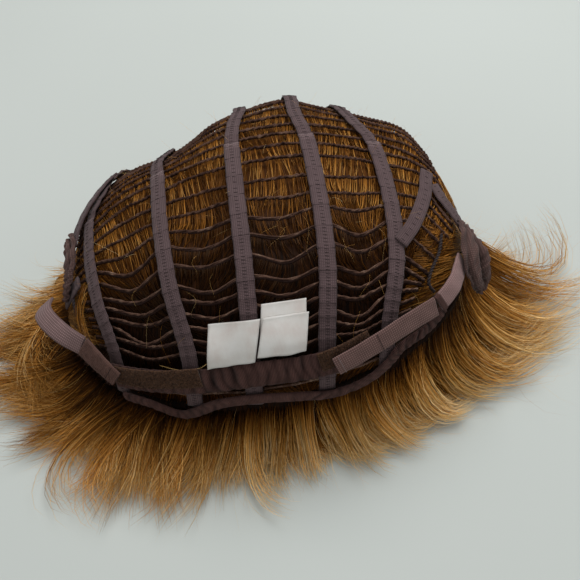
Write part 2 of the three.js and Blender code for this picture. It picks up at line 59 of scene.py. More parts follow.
def addCamera():
    data = bpy.data.cameras.new("camera")
    data.sensor_width = camera["sensor"]
    data.lens = camera["sensor"] * camera["focalPixels"] / camera["imagePixels"]
    data.clip_start = camera["nearest"]
    eye = bpy.data.objects.new("camera", data)
    scene.collection.objects.link(eye)
    tilt = math.radians(camera["elevation"])
    x, y, z = camera["target"]
    back, rise = camera["distance"] * math.cos(tilt), camera["distance"] * math.sin(tilt)
    eye.location = (x, y - back, z + rise)
    eye.rotation_euler = (math.pi / 2 - tilt, 0, 0)
    scene.camera = eye


addCamera()
print("camera set")


# Nodes of the finishes

def newFinish(name, roughness, specular, sheen=0.0):
    made = bpy.data.materials.new(name)
    made.use_nodes = True
    shader = made.node_tree.nodes["Principled BSDF"]
    shader.inputs["Roughness"].default_value = roughness
    shader.inputs["Specular IOR Level"].default_value = specular
    shader.inputs["Sheen Weight"].default_value = sheen
    return made, made.node_tree, shader


def plug(tree, value, socket):
    if isinstance(value, bpy.types.NodeSocket):
        tree.links.new(value, socket)
    else:
        socket.default_value = value


def addNode(tree, kind, settings, inputs, output=0):
    node = tree.nodes.new(kind)
    for key, value in settings.items():
        setattr(node, key, value)
    for key, value in inputs.items():
        plug(tree, value, node.inputs[key])
    return node.outputs[output]


def attribute(tree, name):
    return addNode(tree, "ShaderNodeAttribute", {"attribute_name": name}, {}, "Fac")


def clothPlace(tree, scale=(1, 1, 1)):
    uv = addNode(tree, "ShaderNodeUVMap", {}, {})
    return addNode(tree, "ShaderNodeMapping", {}, {"Vector": uv, "Scale": scale})


# spots by the place on the object, unless another place is given
def noise(tree, scale, detail=3, place=None):
    if place is None:
        place = addNode(tree, "ShaderNodeTexCoord", {}, {}, "Object")
    inputs = {"Vector": place, "Scale": scale, "Detail": detail}
    return addNode(tree, "ShaderNodeTexNoise", {}, inputs, "Fac")


# threads along or across the cloth, one for each period in metres
def wave(tree, direction, period, distortion):
    scale = math.pi / 10 / period
    inputs = {"Vector": clothPlace(tree), "Scale": scale, "Distortion": distortion, "Detail": 1}
    return addNode(tree, "ShaderNodeTexWave", {"bands_direction": direction}, inputs, "Fac")


def ramp(tree, factor, stops):
    node = tree.nodes.new("ShaderNodeValToRGB")
    line = node.color_ramp.elements
    while len(line) < len(stops):
        line.new(1)
    for element, (place, colour) in zip(line, stops):
        element.position = place
        element.color = (*colour, 1)
    tree.links.new(factor, node.inputs["Fac"])
    return node.outputs["Color"]


def scaled(tree, value, low, high):
    return addNode(tree, "ShaderNodeMapRange", {}, {"Value": value, "To Min": low, "To Max": high})


def plus(tree, first, second):
    return addNode(tree, "ShaderNodeMath", {"operation": "ADD"}, {0: first, 1: second})


def times(tree, first, second):
    return addNode(tree, "ShaderNodeMath", {"operation": "MULTIPLY"}, {0: first, 1: second})


def tint(tree, colour, light, amount=1.0):
    whole = colour if isinstance(colour, bpy.types.NodeSocket) else (*colour, 1)
    settings = {"data_type": "RGBA", "blend_type": "MULTIPLY"}
    return addNode(tree, "ShaderNodeMix", settings, {0: amount, 6: whole, 7: light}, 2)


# the colour, times a pattern of threads and wear if one is given, times the mesh's shade attribute, which
# holds painted shade on some pieces and chance tone on others
def paint(tree, shader, colour, light=None):
    shade = attribute(tree, "shade")
    whole = shade if light is None else times(tree, light, shade)
    plug(tree, tint(tree, colour, whole), shader.inputs["Base Color"])


def bump(tree, shader, height, distance):
    inputs = {"Height": height, "Distance": distance, "Strength": 1.0}
    plug(tree, addNode(tree, "ShaderNodeBump", {}, inputs), shader.inputs["Normal"])


# Finishes

# the darkest colours stand for painted shade under the cap and between the rows
hairColours = [  # from the dark under the cap to the bleached tips
    (0.00, (0.006, 0.0019, 0.0006)),
    (0.16, (0.040, 0.0120, 0.0018)),
    (0.36, (0.160, 0.0540, 0.0052)),
    (0.55, (0.455, 0.1870, 0.0290)),
    (0.72, (0.710, 0.3600, 0.0860)),
    (0.88, (0.850, 0.5350, 0.1900)),
    (1.00, (0.900, 0.6600, 0.3400)),
]
cordColours = [  # from the strip's painted shadow to the palest cord
    (0.00, (0.008, 0.0035, 0.0025)),
    (0.35, (0.034, 0.0155, 0.0115)),
    (0.70, (0.115, 0.061, 0.0420)),
    (1.00, (0.270, 0.175, 0.1250)),
]
feltColours = [(0.3, (0.030, 0.015, 0.009)), (0.7, (0.120, 0.060, 0.034))]
satinColours = [  # soiled to clean
    (0.30, (0.84, 0.765, 0.715)),
    (0.50, (0.91, 0.875, 0.830)),
    (0.68, (0.96, 0.940, 0.905)),
]


def hairFinish():
    made, tree, shader = newFinish("hair", 0.42, 0.2)
    shader.inputs["Specular Tint"].default_value = (1.0, 0.78, 0.5, 1)
    colour = ramp(tree, attribute(tree, "tone"), hairColours)
    patches = scaled(tree, noise(tree, 90), 0.75, 1.25)
    paint(tree, shader, tint(tree, colour, patches, 0.6))
    plug(tree, scaled(tree, noise(tree, 900), 0.32, 0.55), shader.inputs["Roughness"])
    return made


def underHairFinish():
    made, tree, shader = newFinish("hairUnder", 0.6, 0.08)
    streaks = noise(tree, 1.0, 4, clothPlace(tree, (1500, 60, 1)))
    tone = plus(tree, attribute(tree, "tone"), scaled(tree, streaks, -0.28, 0.28))
    paint(tree, shader, ramp(tree, tone, hairColours))
    bump(tree, shader, streaks, 0.8 * mm)
    return made


def weftFinish():
    made, tree, shader = newFinish("weftCord", 0.8, 0.12)
    flecks = scaled(tree, noise(tree, 1400, 2), -0.3, 0.3)
    tone = plus(tree, attribute(tree, "tone"), flecks)
    paint(tree, shader, ramp(tree, tone, cordColours))
    bump(tree, shader, noise(tree, 5200), 0.12 * mm)
    return made


def tapeFinish(name, colour, ribPeriod, warpPeriod, contrast=0.35):
    made, tree, shader = newFinish(name, 0.85, 0.1, sheen=0.08)
    weave = times(tree, wave(tree, "X", ribPeriod, 0.4), wave(tree, "Y", warpPeriod, 0.4))
    worn = scaled(tree, noise(tree, 160, 5), 0.78, 1.22)
    paint(tree, shader, colour, times(tree, scaled(tree, weave, 1 - contrast, 1 + contrast), worn))
    bump(tree, shader, weave, 0.14 * mm)
    return made


def bandFinish():
    made, tree, shader = newFinish("gatheredBand", 0.9, 0.08, sheen=0.06)
    ribs = wave(tree, "X", 0.55 * mm, 2.5)
    worn = scaled(tree, noise(tree, 240, 5), 0.7, 1.3)
    paint(tree, shader, (0.088, 0.043, 0.037), times(tree, scaled(tree, ribs, 0.62, 1.3), worn))
    bump(tree, shader, ribs, 0.2 * mm)
    return made


def feltFinish():
    made, tree, shader = newFinish("loopFelt", 1.0, 0.1, sheen=0.08)
    nap = noise(tree, 1500, 4)
    paint(tree, shader, ramp(tree, nap, feltColours))
    bump(tree, shader, nap, 0.5 * mm)
    return made


def satinFinish():
    made, tree, shader = newFinish("bareSatin", 0.42, 0.5, sheen=0.2)
    weft = wave(tree, "X", 0.34 * mm, 0.3)
    threads = times(tree, weft, wave(tree, "Y", 0.5 * mm, 0.3))
    soiled = ramp(tree, noise(tree, 130, 4), satinColours)
    paint(tree, shader, soiled, scaled(tree, threads, 0.9, 1.06))
    bump(tree, shader, weft, 0.06 * mm)
    return made


def threadFinish(name, dark, light):
    made, tree, shader = newFinish(name, 0.7, 0.3)
    twist = noise(tree, 2600, 2)
    paint(tree, shader, ramp(tree, twist, [(0.3, dark), (0.7, light)]))
    bump(tree, shader, twist, 0.1 * mm)
    return made


finishes = {
    "hair": hairFinish(),
    "underHair": underHairFinish(),
    "weft": weftFinish(),
    "strap": tapeFinish("strapTape", (0.128, 0.085, 0.087), 0.62 * mm, 0.8 * mm),
    "tabCloth": tapeFinish("earTabCloth", (0.128, 0.074, 0.065), 0.62 * mm, 0.8 * mm),
    "elastic": tapeFinish("ribbedElastic", (0.255, 0.165, 0.160), 0.8 * mm, 1.0 * mm, 0.42),
    "smoothElastic": tapeFinish("smoothElastic", (0.330, 0.205, 0.195), 0.8 * mm, 0.9 * mm, 0.3),
    "velvet": tapeFinish("velvetTab", (0.225, 0.132, 0.118), 0.85 * mm, 0.95 * mm, 0.42),
    "wornVelvet": tapeFinish("wornVelvetTab", (0.150, 0.080, 0.064), 0.8 * mm, 0.8 * mm, 0.25),
    "band": bandFinish(),
    "felt": feltFinish(),
    "satin": satinFinish(),
    "darkThread": threadFinish("darkThread", (0.016, 0.010, 0.010), (0.045, 0.030, 0.030)),
    "strapThread": threadFinish("strapThread", (0.022, 0.014, 0.014), (0.060, 0.039, 0.039)),
    "paleThread": threadFinish("paleThread", (0.200, 0.145, 0.145), (0.360, 0.280, 0.275)),
}
print("finishes made:", len(finishes))


# The cap's surface

cap = {
    "halfWidth": 93 * mm,
    "napeDepth": 70 * mm,
    "frontDepth": 88 * mm,
    "height": 58.5 * mm,
    "profilePower": 2.37,
    "crossPower": 2.07,
    "rimHeight": 22.2 * mm,
    "rightLift": 15.6 * mm,
    "crownLean": 2.4 * mm,
    "turn": -5.33,
    "middle": (-10.2 * mm, 2 * mm),
    "relief": [  # over, across, rise, reach over, reach across
        (138, -26, -7.8 * mm, 30, 13),
        (140, 8, 3.2 * mm, 25, 8),
        (136, 44, 2.8 * mm, 30, 8),
        (102, 76, -7.9 * mm, 26, 12),
        (132, -58, 2.5 * mm, 25, 8),
    ],
    "bayDent": 2.2 * mm,
    "bayZone": (26, 44, 76, 96),  # from, full, fades, gone
}
strapLines = {
    "over": (3, 30, 60, 103, 118, 132, 170),
    "outer_left": (-42, -44, -50, -54.5, -49, -46, -40),
    "left": (-20, -21, -25.4, -29, -30, -29, -26),
    "middle": (-5, -5.6, -6.5, -7.6, -6.4, -4.2, -3),
    "right": (12, 11.6, 12.2, 11.3, 9.4, 9.6, 10),
    "outer_right": (28, 28.4, 31.3, 30.8, 26.2, 24.2, 23),
}
strapNames = [name for name in strapLines if name != "over"]


def unit(vectors):
    return vectors / np.linalg.norm(vectors, axis=-1, keepdims=True)


def smooth(value, start, end):
    t = np.clip((value - start) / (end - start), 0, 1)
    return t * t * (3 - 2 * t)


def inZone(value, zone):
    return smooth(value, zone[0], zone[1]) * (1 - smooth(value, zone[2], zone[3]))


# a smooth curve through the rows of a table
def fromTable(places, values, at):
    xs, ys = np.array(places, float), np.array(values, float)
    slope = np.gradient(ys, xs)
    slope[1:-1] = (ys[2:] - ys[:-2]) / (xs[2:] - xs[:-2])
    k = np.clip(np.searchsorted(xs, at) - 1, 0, len(xs) - 2)
    span = xs[k + 1] - xs[k]
    t = np.clip((at - xs[k]) / span, 0, 1)
    start = ys[k] * (1 + 2 * t) * (1 - t) ** 2 + slope[k] * span * t * (1 - t) ** 2
    end = ys[k + 1] * t * t * (3 - 2 * t) + slope[k + 1] * span * t * t * (t - 1)
    return start + end


def strapAcross(name, over):
    return fromTable(strapLines["over"], strapLines[name], over)


# the bay that a place lies in, from the left, and how deep into it from 0 to 1
def bayAt(over, across):
    lines = np.stack([strapAcross(name, over) for name in strapNames])
    bay = (lines < across).sum(0)
    last = len(lines) - 1
    left = np.take_along_axis(lines, np.clip(bay - 1, 0, last)[None], 0)[0]
    right = np.take_along_axis(lines, np.clip(bay, 0, last)[None], 0)[0]
    inner = (bay > 0) & (bay < len(lines))
    share = np.where(inner, (across - left) / np.where(inner, right - left, 1), 0)
    return bay, np.sin(np.pi * share) ** 2


def signedPower(value, power):
    return np.sign(value) * np.abs(value) ** power


def evenCap(over, across):
    over, across = np.broadcast_arrays(np.asarray(over, float), np.asarray(across, float))
    a, b = np.radians(np.maximum(over, 0)), np.radians(across)
    girth = np.abs(np.cos(b)) ** (2 / cap["crossPower"])
    depth = np.where(np.cos(a) > 0, cap["napeDepth"], cap["frontDepth"])
    flatX = cap["halfWidth"] * signedPower(np.sin(b), 2 / cap["crossPower"])
    flatY = -girth * depth * signedPower(np.cos(a), 2 / cap["profilePower"])
    height = girth * cap["height"] * np.abs(np.sin(a)) ** (2 / cap["profilePower"])
    part = height / cap["height"]
    x = flatX + cap["crownLean"] * part**2
    z = height + cap["rightLift"] * flatX / cap["halfWidth"] * (1 - 0.5 * part)
    turn = math.radians(cap["turn"])
    placeX = x * math.cos(turn) + flatY * math.sin(turn) + cap["middle"][0]
    placeY = -x * math.sin(turn) + flatY * math.cos(turn) + cap["middle"][1]
    below = np.minimum(over, 0) * mm  # a place under the nape's rim is 1 mm down for each degree
    return np.stack([placeX, placeY, z + cap["rimHeight"] + below], -1)


def outward(over, across):
    step = 0.6
    a, b = np.clip(over, 1, 177.5), np.clip(across, -88, 88)
    alongOver = evenCap(a + step, b) - evenCap(a - step, b)
    alongAcross = evenCap(a, b + step) - evenCap(a, b - step)
    return unit(np.cross(alongAcross, alongOver))


def reliefAt(over, across):
    rise = np.zeros(np.broadcast(over, across).shape)
    for row in cap["relief"]:
        apart = ((over - row[0]) / row[3]) ** 2 + ((across - row[1]) / row[4]) ** 2
        rise += row[2] * np.exp(-apart)
    return rise - cap["bayDent"] * inZone(over, cap["bayZone"]) * bayAt(over, across)[1]


def onCap(over, across, lift):
    over, across = np.broadcast_arrays(np.asarray(over, float), np.asarray(across, float))
    away = np.asarray(lift) + reliefAt(over, across)
    return evenCap(over, across) + outward(over, across) * away[..., None]


# a place on the rim by its turn round it: 0 left ear, 90 nape, 180 right ear, 270 front
def rimPlace(turn):
    turn = np.mod(turn, 360)
    nape = turn < 180
    return evenCap(np.where(nape, 0.0, 180.0), np.where(nape, turn - 90, 270 - turn))


def rimOutward(turn):
    along = rimPlace(turn + 2) - rimPlace(turn - 2)
    return unit(np.stack([along[..., 1], -along[..., 0], np.zeros(along.shape[:-1])], -1))


# Mesh shapes: a dictionary of points, faces, cloth coordinates, tone and shade

def newShape(points, faces, cloth=None, tone=0.5, shade=1.0):
    count = len(points)
    return {
        "points": points,
        "faces": faces,
        "cloth": np.zeros((count, 2)) if cloth is None else cloth,
        "tone": np.broadcast_to(tone, count),
        "shade": np.broadcast_to(shade, count),
    }


def joinShapes(shapes):
    starts = np.cumsum([0] + [len(shape["points"]) for shape in shapes[:-1]])
    keys = ("points", "cloth", "tone", "shade")
    joined = {key: np.concatenate([shape[key] for shape in shapes]) for key in keys}
    joined["faces"] = [faces + start for shape, start in zip(shapes, starts) for faces in shape["faces"]]
    return joined


# four-sided faces between the rows and columns of a grid of point numbers
def gridFaces(grid):
    corners = [grid[:-1, :-1], grid[1:, :-1], grid[1:, 1:], grid[:-1, 1:]]
    return np.stack(corners, -1).reshape(-1, 4)


# how far along a line each of its points is
def lengthAlong(points):
    return np.concatenate([[0], np.cumsum(np.linalg.norm(np.diff(points, axis=0), axis=1))])


# the name of the piece that stands for one solid
def pieceName(node):
    return node.replace("_", "-")


def addPiece(name, shape, finish, replaces=()):
    mesh = bpy.data.meshes.new(name)
    corners = np.concatenate([faces.ravel() for faces in shape["faces"]]).astype(np.int32)
    sizes = np.concatenate([np.full(len(faces), faces.shape[1]) for faces in shape["faces"]])
    mesh.vertices.add(len(shape["points"]))
    mesh.vertices.foreach_set("co", shape["points"].astype(np.float32).ravel())
    mesh.loops.add(len(corners))
    mesh.loops.foreach_set("vertex_index", corners)
    mesh.polygons.add(len(sizes))
    mesh.polygons.foreach_set("loop_start", (np.cumsum(sizes) - sizes).astype(np.int32))
    uv = mesh.uv_layers.new(name="UVMap")
    uv.data.foreach_set("uv", shape["cloth"][corners].astype(np.float32).ravel())
    for key in ("tone", "shade"):
        made = mesh.attributes.new(key, "FLOAT", "POINT")
        made.data.foreach_set("value", shape[key].astype(np.float32))
    mesh.update(calc_edges=True)
    mesh.shade_smooth()
    mesh.materials.append(finishes[finish])
    piece = bpy.data.objects.new(name, mesh)
    scene.collection.objects.link(piece)
    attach(piece, "root")
    if replaces:
        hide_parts(*replaces)
    return piece


# many tubes at once: points and radii are (tubes, rings), pole is a way across each tube
def tubes(points, radii, sides, pole, tone=0.5, shade=1.0, pointed=True):
    count, rings = points.shape[:2]
    tone = np.broadcast_to(tone, (count, rings))
    shade = np.broadcast_to(shade, (count, rings))
    along = unit(np.gradient(points, axis=1))
    first = unit(pole - (pole * along).sum(-1, keepdims=True) * along)
    second = np.cross(along, first)
    angle = 2 * np.pi * np.arange(sides) / sides
    spread = np.cos(angle)[:, None] * first[:, :, None] + np.sin(angle)[:, None] * second[:, :, None]
    skin = points[:, :, None] + radii[:, :, None, None] * spread
    whole = rings - 1 if pointed else rings
    ids = np.arange(count * whole * sides).reshape(count, whole, sides)
    turned = np.roll(ids, -1, axis=2)
    quads = np.stack([ids[:, :-1], turned[:, :-1], turned[:, 1:], ids[:, 1:]], -1).reshape(-1, 4)
    faces = [quads, ids[:, 0, ::-1]]
    places = [skin[:, :whole].reshape(-1, 3)]
    tones = [np.repeat(tone[:, :whole].ravel(), sides)]
    shades = [np.repeat(shade[:, :whole].ravel(), sides)]
    if pointed:
        tips = np.broadcast_to(ids.size + np.arange(count)[:, None], (count, sides))
        faces.append(np.stack([ids[:, -1], turned[:, -1], tips], -1).reshape(-1, 3))
        places.append(points[:, -1])
        tones.append(tone[:, -1])
        shades.append(shade[:, -1])
    else:
        faces.append(ids[:, -1])
    return newShape(np.concatenate(places), faces, None, np.concatenate(tones), np.concatenate(shades))


# a closed sheet between an upper and a lower grid of points
def sheetSolid(top, bottom, cloth, tone=0.5, shade=1.0):
    rows, columns = top.shape[:2]
    upper = np.arange(rows * columns).reshape(rows, columns)
    edge = np.concatenate([upper[0, :-1], upper[:-1, -1], upper[-1, :0:-1], upper[:0:-1, 0]])
    after = np.roll(edge, -1)
    sides = np.stack([edge, after, after + upper.size, edge + upper.size], -1)
    faces = [gridFaces(upper), gridFaces(upper + upper.size)[:, ::-1], sides]
    points = np.concatenate([top.reshape(-1, 3), bottom.reshape(-1, 3)])
    looks = [np.tile(np.broadcast_to(value, (rows, columns)).ravel(), 2) for value in (tone, shade)]
    return newShape(points, faces, np.tile(cloth.reshape(-1, 2), (2, 1)), *looks)


# a smooth route through rows of over, across and lift in mm, evenly spaced
def smoothRoute(rows, count):
    p = np.array(rows, float)
    p = np.vstack([2 * p[0] - p[1], p, 2 * p[-1] - p[-2]])
    runs = []
    for k in range(1, len(p) - 2):
        p0, p1, p2, p3 = p[k - 1:k + 3]
        d0, d1, d2 = [np.linalg.norm(b - a) ** 0.5 for a, b in ((p0, p1), (p1, p2), (p2, p3))]
        t1 = ((p1 - p0) / d0 - (p2 - p0) / (d0 + d1) + (p2 - p1) / d1) * d1
        t2 = ((p2 - p1) / d1 - (p3 - p1) / (d1 + d2) + (p3 - p2) / d2) * d1
        t = np.linspace(0, 1, 40)[:, None]
        square, cube = 3 * p2 - 3 * p1 - 2 * t1 - t2, 2 * p1 - 2 * p2 + t1 + t2
        runs.append(p1 + t1 * t + square * t**2 + cube * t**3)
    line = np.concatenate(runs)
    gone = lengthAlong(line)
    at = np.linspace(0, gone[-1], count)
    return np.stack([np.interp(at, gone, line[:, c]) for c in range(3)], 1)


# middle points of a tape on the cap, with its ways sideways and up
# roll turns it about its own line in degrees: at the start, later, and the share of the line that takes
def tapeLine(spots, roll=(0, 0, 1)):
    over, across, lift = spots.T
    point = onCap(over, across, lift * mm)
    up = outward(over, across)
    sideways = unit(np.cross(up, np.gradient(point, axis=0)))
    up = unit(np.cross(np.gradient(point, axis=0), sideways))
    begin, later, by = roll
    turn = np.radians(begin + (later - begin) * smooth(np.linspace(0, 1, len(over)), 0, by))[:, None]
    return point, sideways * np.cos(turn) + up * np.sin(turn), up * np.cos(turn) - sideways * np.sin(turn)


# a closed soft-edged tape: u runs along it and v from edge to edge, -1 to 1
# width may change along it, rise and shadeAt are functions of u and v
def tapeShape(line, width, thick, rise=None, columns=9, shadeAt=None, tone=0.5):
    point, sideways, up = line
    steps = len(point)
    u = np.linspace(0, 1, steps)[:, None]
    v = np.sin(np.linspace(-np.pi / 2, np.pi / 2, columns))[None]
    aside = v * np.broadcast_to(width, steps)[:, None] / 2
    lift = np.zeros((steps, columns)) if rise is None else rise(u, v)
    shade = np.ones((steps, columns)) if shadeAt is None else shadeAt(u, v)
    softEdge = np.sqrt(1 - np.abs(v) ** 8)
    flat = point[:, None] + sideways[:, None] * aside[..., None]
    top = flat + up[:, None] * (lift + thick * (0.5 + 0.5 * softEdge))[..., None]
    bottom = flat + up[:, None] * (lift + thick * (0.5 - 0.5 * softEdge))[..., None]
    cloth = np.stack(np.broadcast_arrays(lengthAlong(point)[:, None], aside), -1)

    def around(upper, lower):
        return np.concatenate([upper, lower[:, -2:0:-1]], 1)

    ring = around(top, bottom).reshape(-1, 3)
    ids = np.arange(len(ring)).reshape(steps, -1)
    faces = [gridFaces(np.pad(ids, ((0, 0), (0, 1)), "wrap")), ids[:1], ids[-1:, ::-1]]
    return newShape(ring, faces, around(cloth, cloth).reshape(-1, 2), tone, around(shade, shade).ravel())


# two plies twisted round a line
def ropeShape(centre, up, plyRadius, ropeRadius, pitch, sides=5, tone=0.5):
    plies = 2
    along = unit(np.gradient(centre, axis=0))
    side = unit(np.cross(along, up))
    phase = 2 * np.pi * (lengthAlong(centre)[None] / pitch + np.arange(plies)[:, None] / plies)
    plyLine = centre + ropeRadius * (np.cos(phase)[..., None] * up + np.sin(phase)[..., None] * side)
    radii = np.full(phase.shape, plyRadius)
    return tubes(plyLine, radii, sides, np.broadcast_to(up, plyLine.shape), tone, pointed=False)


# short stitches from one place to another, standing up in the middle
def stitchShape(starts, ends, up, radius, stand):
    share = np.array([0, 0.2, 0.8, 1])
    height = np.array([-0.4, 1, 1, -0.4]) * stand
    points = starts[:, None] + (ends - starts)[:, None] * share[:, None] + up[:, None] * height[:, None]
    pole = np.broadcast_to(up[:, None], points.shape)
    return tubes(points, np.full(points.shape[:2], radius), 3, pole, pointed=False)


# Rows of weft

wefts = {
    "over": (8.4, 12, 27, 31.5, 36.5, 42, 48, 54.5, 63, 71.5, 79.5, 86.5, 91.5,
             97.5, 103, 108, 113.5, 119.5, 126.5, 134, 142, 150, 157.5, 164.5),
    "sag": (0, 0, 2, 3, 4, 4, 4, 3.5, 3.5, 3, 1.5, 0.5) + (0,) * 12,
    "baySlack": np.array([0.3, 1.5, 0.9, 0.9, 1.3, 0]),
    "slackSpread": (0.6, 1.35),
    "sideDrop": 1.5,  # degrees over for each degree across, right of the diagonal strap
    "sideDropFrom": 34,  # where the rows bend, for a row at the next line's over
    "sideDropOver": 60,
    "sideDropLean": 0.4,
    "sideDropZone": (30, 52, 90, 118),
    "endsOver": (8, 25, 38, 54, 64, 76, 86, 104, 130, 166),
    "endsLeft": (-41, -50, -54, -58.6, -61, -63, -64, -63, -60, -54),
    "endsRight": (26, 35, 38.6, 42.4, 46, 52, 57, 58, 56, 54),
    "low": -2.2 * mm,
    "height": 2 * mm,
    "steps": 90,
    "wander": 1.1,  # degrees over, evened out along a run of steps
    "wanderRun": 11,
    "stripGap": 0.5 * mm,
    "stripThick": 0.8 * mm,
    "cordLift": 0.7 * mm,
    "cordPitch": 6.5,  # in ply radii, as the next
    "cordTwist": 0.8,
    "toneSpread": 0.1,
    "looksOver": (14, 24, 70, 82, 92, 100, 120, 170),
    "plyRadius": (0.46, 0.32, 0.35, 0.46, 0.56, 0.62, 0.60, 0.56),  # in mm
    # painted light: rows below the nape band get lighter cords and strips than the rest; elsewhere the
    # strip's low tone is painted shadow under the cords
    "tone": (0.78, 0.62, 0.66, 0.60, 0.52, 0.50, 0.52, 0.52),
    "stripTone": (0.70, 0.20, 0.20, 0.20, 0.20, 0.20, 0.20, 0.20),
}


def weftEnds(over):
    left = fromTable(wefts["endsOver"], wefts["endsLeft"], over)
    right = fromTable(wefts["endsOver"], wefts["endsRight"], over)
    return left, right


slackRng = np.random.default_rng(5)
rowSlack = slackRng.uniform(*wefts["slackSpread"], (len(wefts["over"]), len(wefts["baySlack"])))


def weftOver(row, across):
    over, sag = wefts["over"][row], wefts["sag"][row]
    bay, depth = bayAt(np.full(np.shape(across), float(over)), across)
    slope = wefts["sideDrop"] * inZone(over, wefts["sideDropZone"])
    held = sag * (1 - depth * wefts["baySlack"][bay] * rowSlack[row][bay])
    bend = wefts["sideDropFrom"] + wefts["sideDropLean"] * np.maximum(over + held - wefts["sideDropOver"], 0)
    return over + held - slope * np.maximum(across - bend, 0)


def addWeft(row, rng):
    rowOver = wefts["over"][row]
    across = np.linspace(*weftEnds(rowOver), wefts["steps"])
    evened = np.ones(wefts["wanderRun"]) / wefts["wanderRun"]
    wander = np.convolve(rng.normal(0, wefts["wander"], len(across)), evened, "same")
    over = weftOver(row, across) + wander
    up = outward(over, across)
    uphill = unit(onCap(over + 1, across, 0) - onCap(over - 1, across, 0))
    keys = ("plyRadius", "tone", "stripTone")
    looks = {key: np.interp(rowOver, wefts["looksOver"], wefts[key]) for key in keys}
    ply, gap = looks["plyRadius"] * mm, wefts["stripGap"]
    base = onCap(over, across, wefts["low"])
    line = (base - uphill * gap / 2, uphill, up)
    # the strip under each cord is painted dark, as the cord's shadow
    strip = tapeShape(line, wefts["height"] - gap, wefts["stripThick"], columns=4, tone=looks["stripTone"])
    top = base + uphill * (wefts["height"] / 2 - 2 * ply) + up * wefts["cordLift"]
    tone = looks["tone"] + wefts["toneSpread"] * rng.normal(size=len(across))
    cord = ropeShape(top, up, ply, ply * wefts["cordTwist"], ply * wefts["cordPitch"], 4, tone[None])
    addPiece(f"weftRow{row + 1:02d}", joinShapes([strip, cord]), "weft", [f"weft_{row + 1:02d}"])


weftRng = np.random.default_rng(11)
for row in range(len(wefts["over"])):
    addWeft(row, weftRng)
print("wefts made:", len(wefts["over"]))


# Hair under the rows

dome = {
    "edge": 84,
    "stepsOver": 60,
    "stepsAcross": 84,
    "high": -4.4 * mm,
    "low": -6 * mm,
    "lockRise": 0.35 * mm,
    # painted shade and light: the hair under the rows is darker towards the nape, lighter at the crown and
    # the sides, and lighter again just above the rim
    "toneOver": (0, 14, 22, 48, 66, 80, 92, 180),
    "tone": (0.34, 0.30, 0.10, 0.12, 0.18, 0.36, 0.56, 0.60),
    "sideLight": 0.55,  # the sides are as light as places this much further over, by degree across
    "sideFrom": 14,
    # painted shade: the base under the strands is darker than they are
    "baseTone": 0.5,  # share of the strands' tone
    "baseShade": 0.8,
    "strands": 9600,
    "rowShare": (20, 60, 80, 88, 135, 175),
    "rowWeight": (0.6, 0.7, 1.1, 1.6, 1.4, 0.7),
    "pastEnds": 2,  # degrees across, past a row's ends
    "belowRow": 0.4,  # degrees over
    "span": (1.1, 2.0),  # in gaps between rows
    "lowerZone": (66, 92),  # below these degrees over, the hair is deeper and leans more
    "tuft": 1.5,  # degrees across
    "gather": (0.3, 0.7),
    "lean": 2.2,  # degrees across, as the next
    "lowerLean": 7,
    "leanSpread": 0.9,
    "rightLean": 0.16,  # for each degree right of the next
    "rightFrom": 34,
    "ring": (0, 0.3, 0.68, 1),  # places along a strand, with its looks there
    "ringLow": (-1.5, -2.35, -2.85, -3.5),  # in mm
    "ringDeep": (0, 0.6, 0.9, 0.9),
    "ringRadius": (1, 1, 0.8, 0.2),
    # painted shade: a strand is darker at its root and tip, where it runs under the rows
    "ringTone": (0.6, 1, 1.05, 0.9),
    "lowerDeep": 1.1,
    "lowest": -5.4,  # in mm
    "radius": 0.12 * mm,
    "size": (0.7, 1.3),
    "shade": (0.7, 1.25),
    "parting": 92,  # degrees over, between the two pieces
}
sideHair = {
    "strands": 1500,
    "over": (28, 160),
    "tuck": (3, -5),  # degrees across from the rows' ends, left and right
    "end": 90,
    "length": (0.5, 1.0),
    "drift": (-4, 5),  # degrees over at the tip, middle and spread
    "wave": 2,
    "low": -1.9,  # in mm, as the next
    "sink": (0.3, 2.2),
    "ringSink": (0.3, 1, 1, 1, 1),
    "ringRadius": (1, 1, 1, 0.8, 0.3),
    # painted shade: darker at the root, under the rows' ends, and at the tip
    "ringTone": (0.7, 1, 1, 1, 0.9),
    "size": (0.7, 1.2),
    "tone": (0.25, 0.75),
    "shade": (0.6, 1.2),
}


# painted shade and light: the hair's tone by its place on the cap
def domeTone(over, across):
    shifted = over + dome["sideLight"] * np.maximum(np.abs(across + 4) - dome["sideFrom"], 0)
    return np.interp(shifted, dome["toneOver"], dome["tone"])


def addDomeBase():
    over = np.linspace(0, 180, dome["stepsOver"] + 1)[:, None]
    across = np.linspace(-dome["edge"], dome["edge"], dome["stepsAcross"] + 1)[None]
    over, across = np.broadcast_arrays(over, across)
    locks = np.sin(across * 1.9 + 0.8 * np.sin(over * 0.11)) * np.sin(over * 0.21 + across * 0.13)
    top = onCap(over, across, dome["high"] + dome["lockRise"] * locks)
    bottom = onCap(over, across, dome["low"])
    cloth = np.stack([across * mm, over * mm], -1)
    base = sheetSolid(top, bottom, cloth, domeTone(over, across) * dome["baseTone"], dome["baseShade"])
    addPiece("hairUnderCap", base, "underHair", ["hair_dome"])


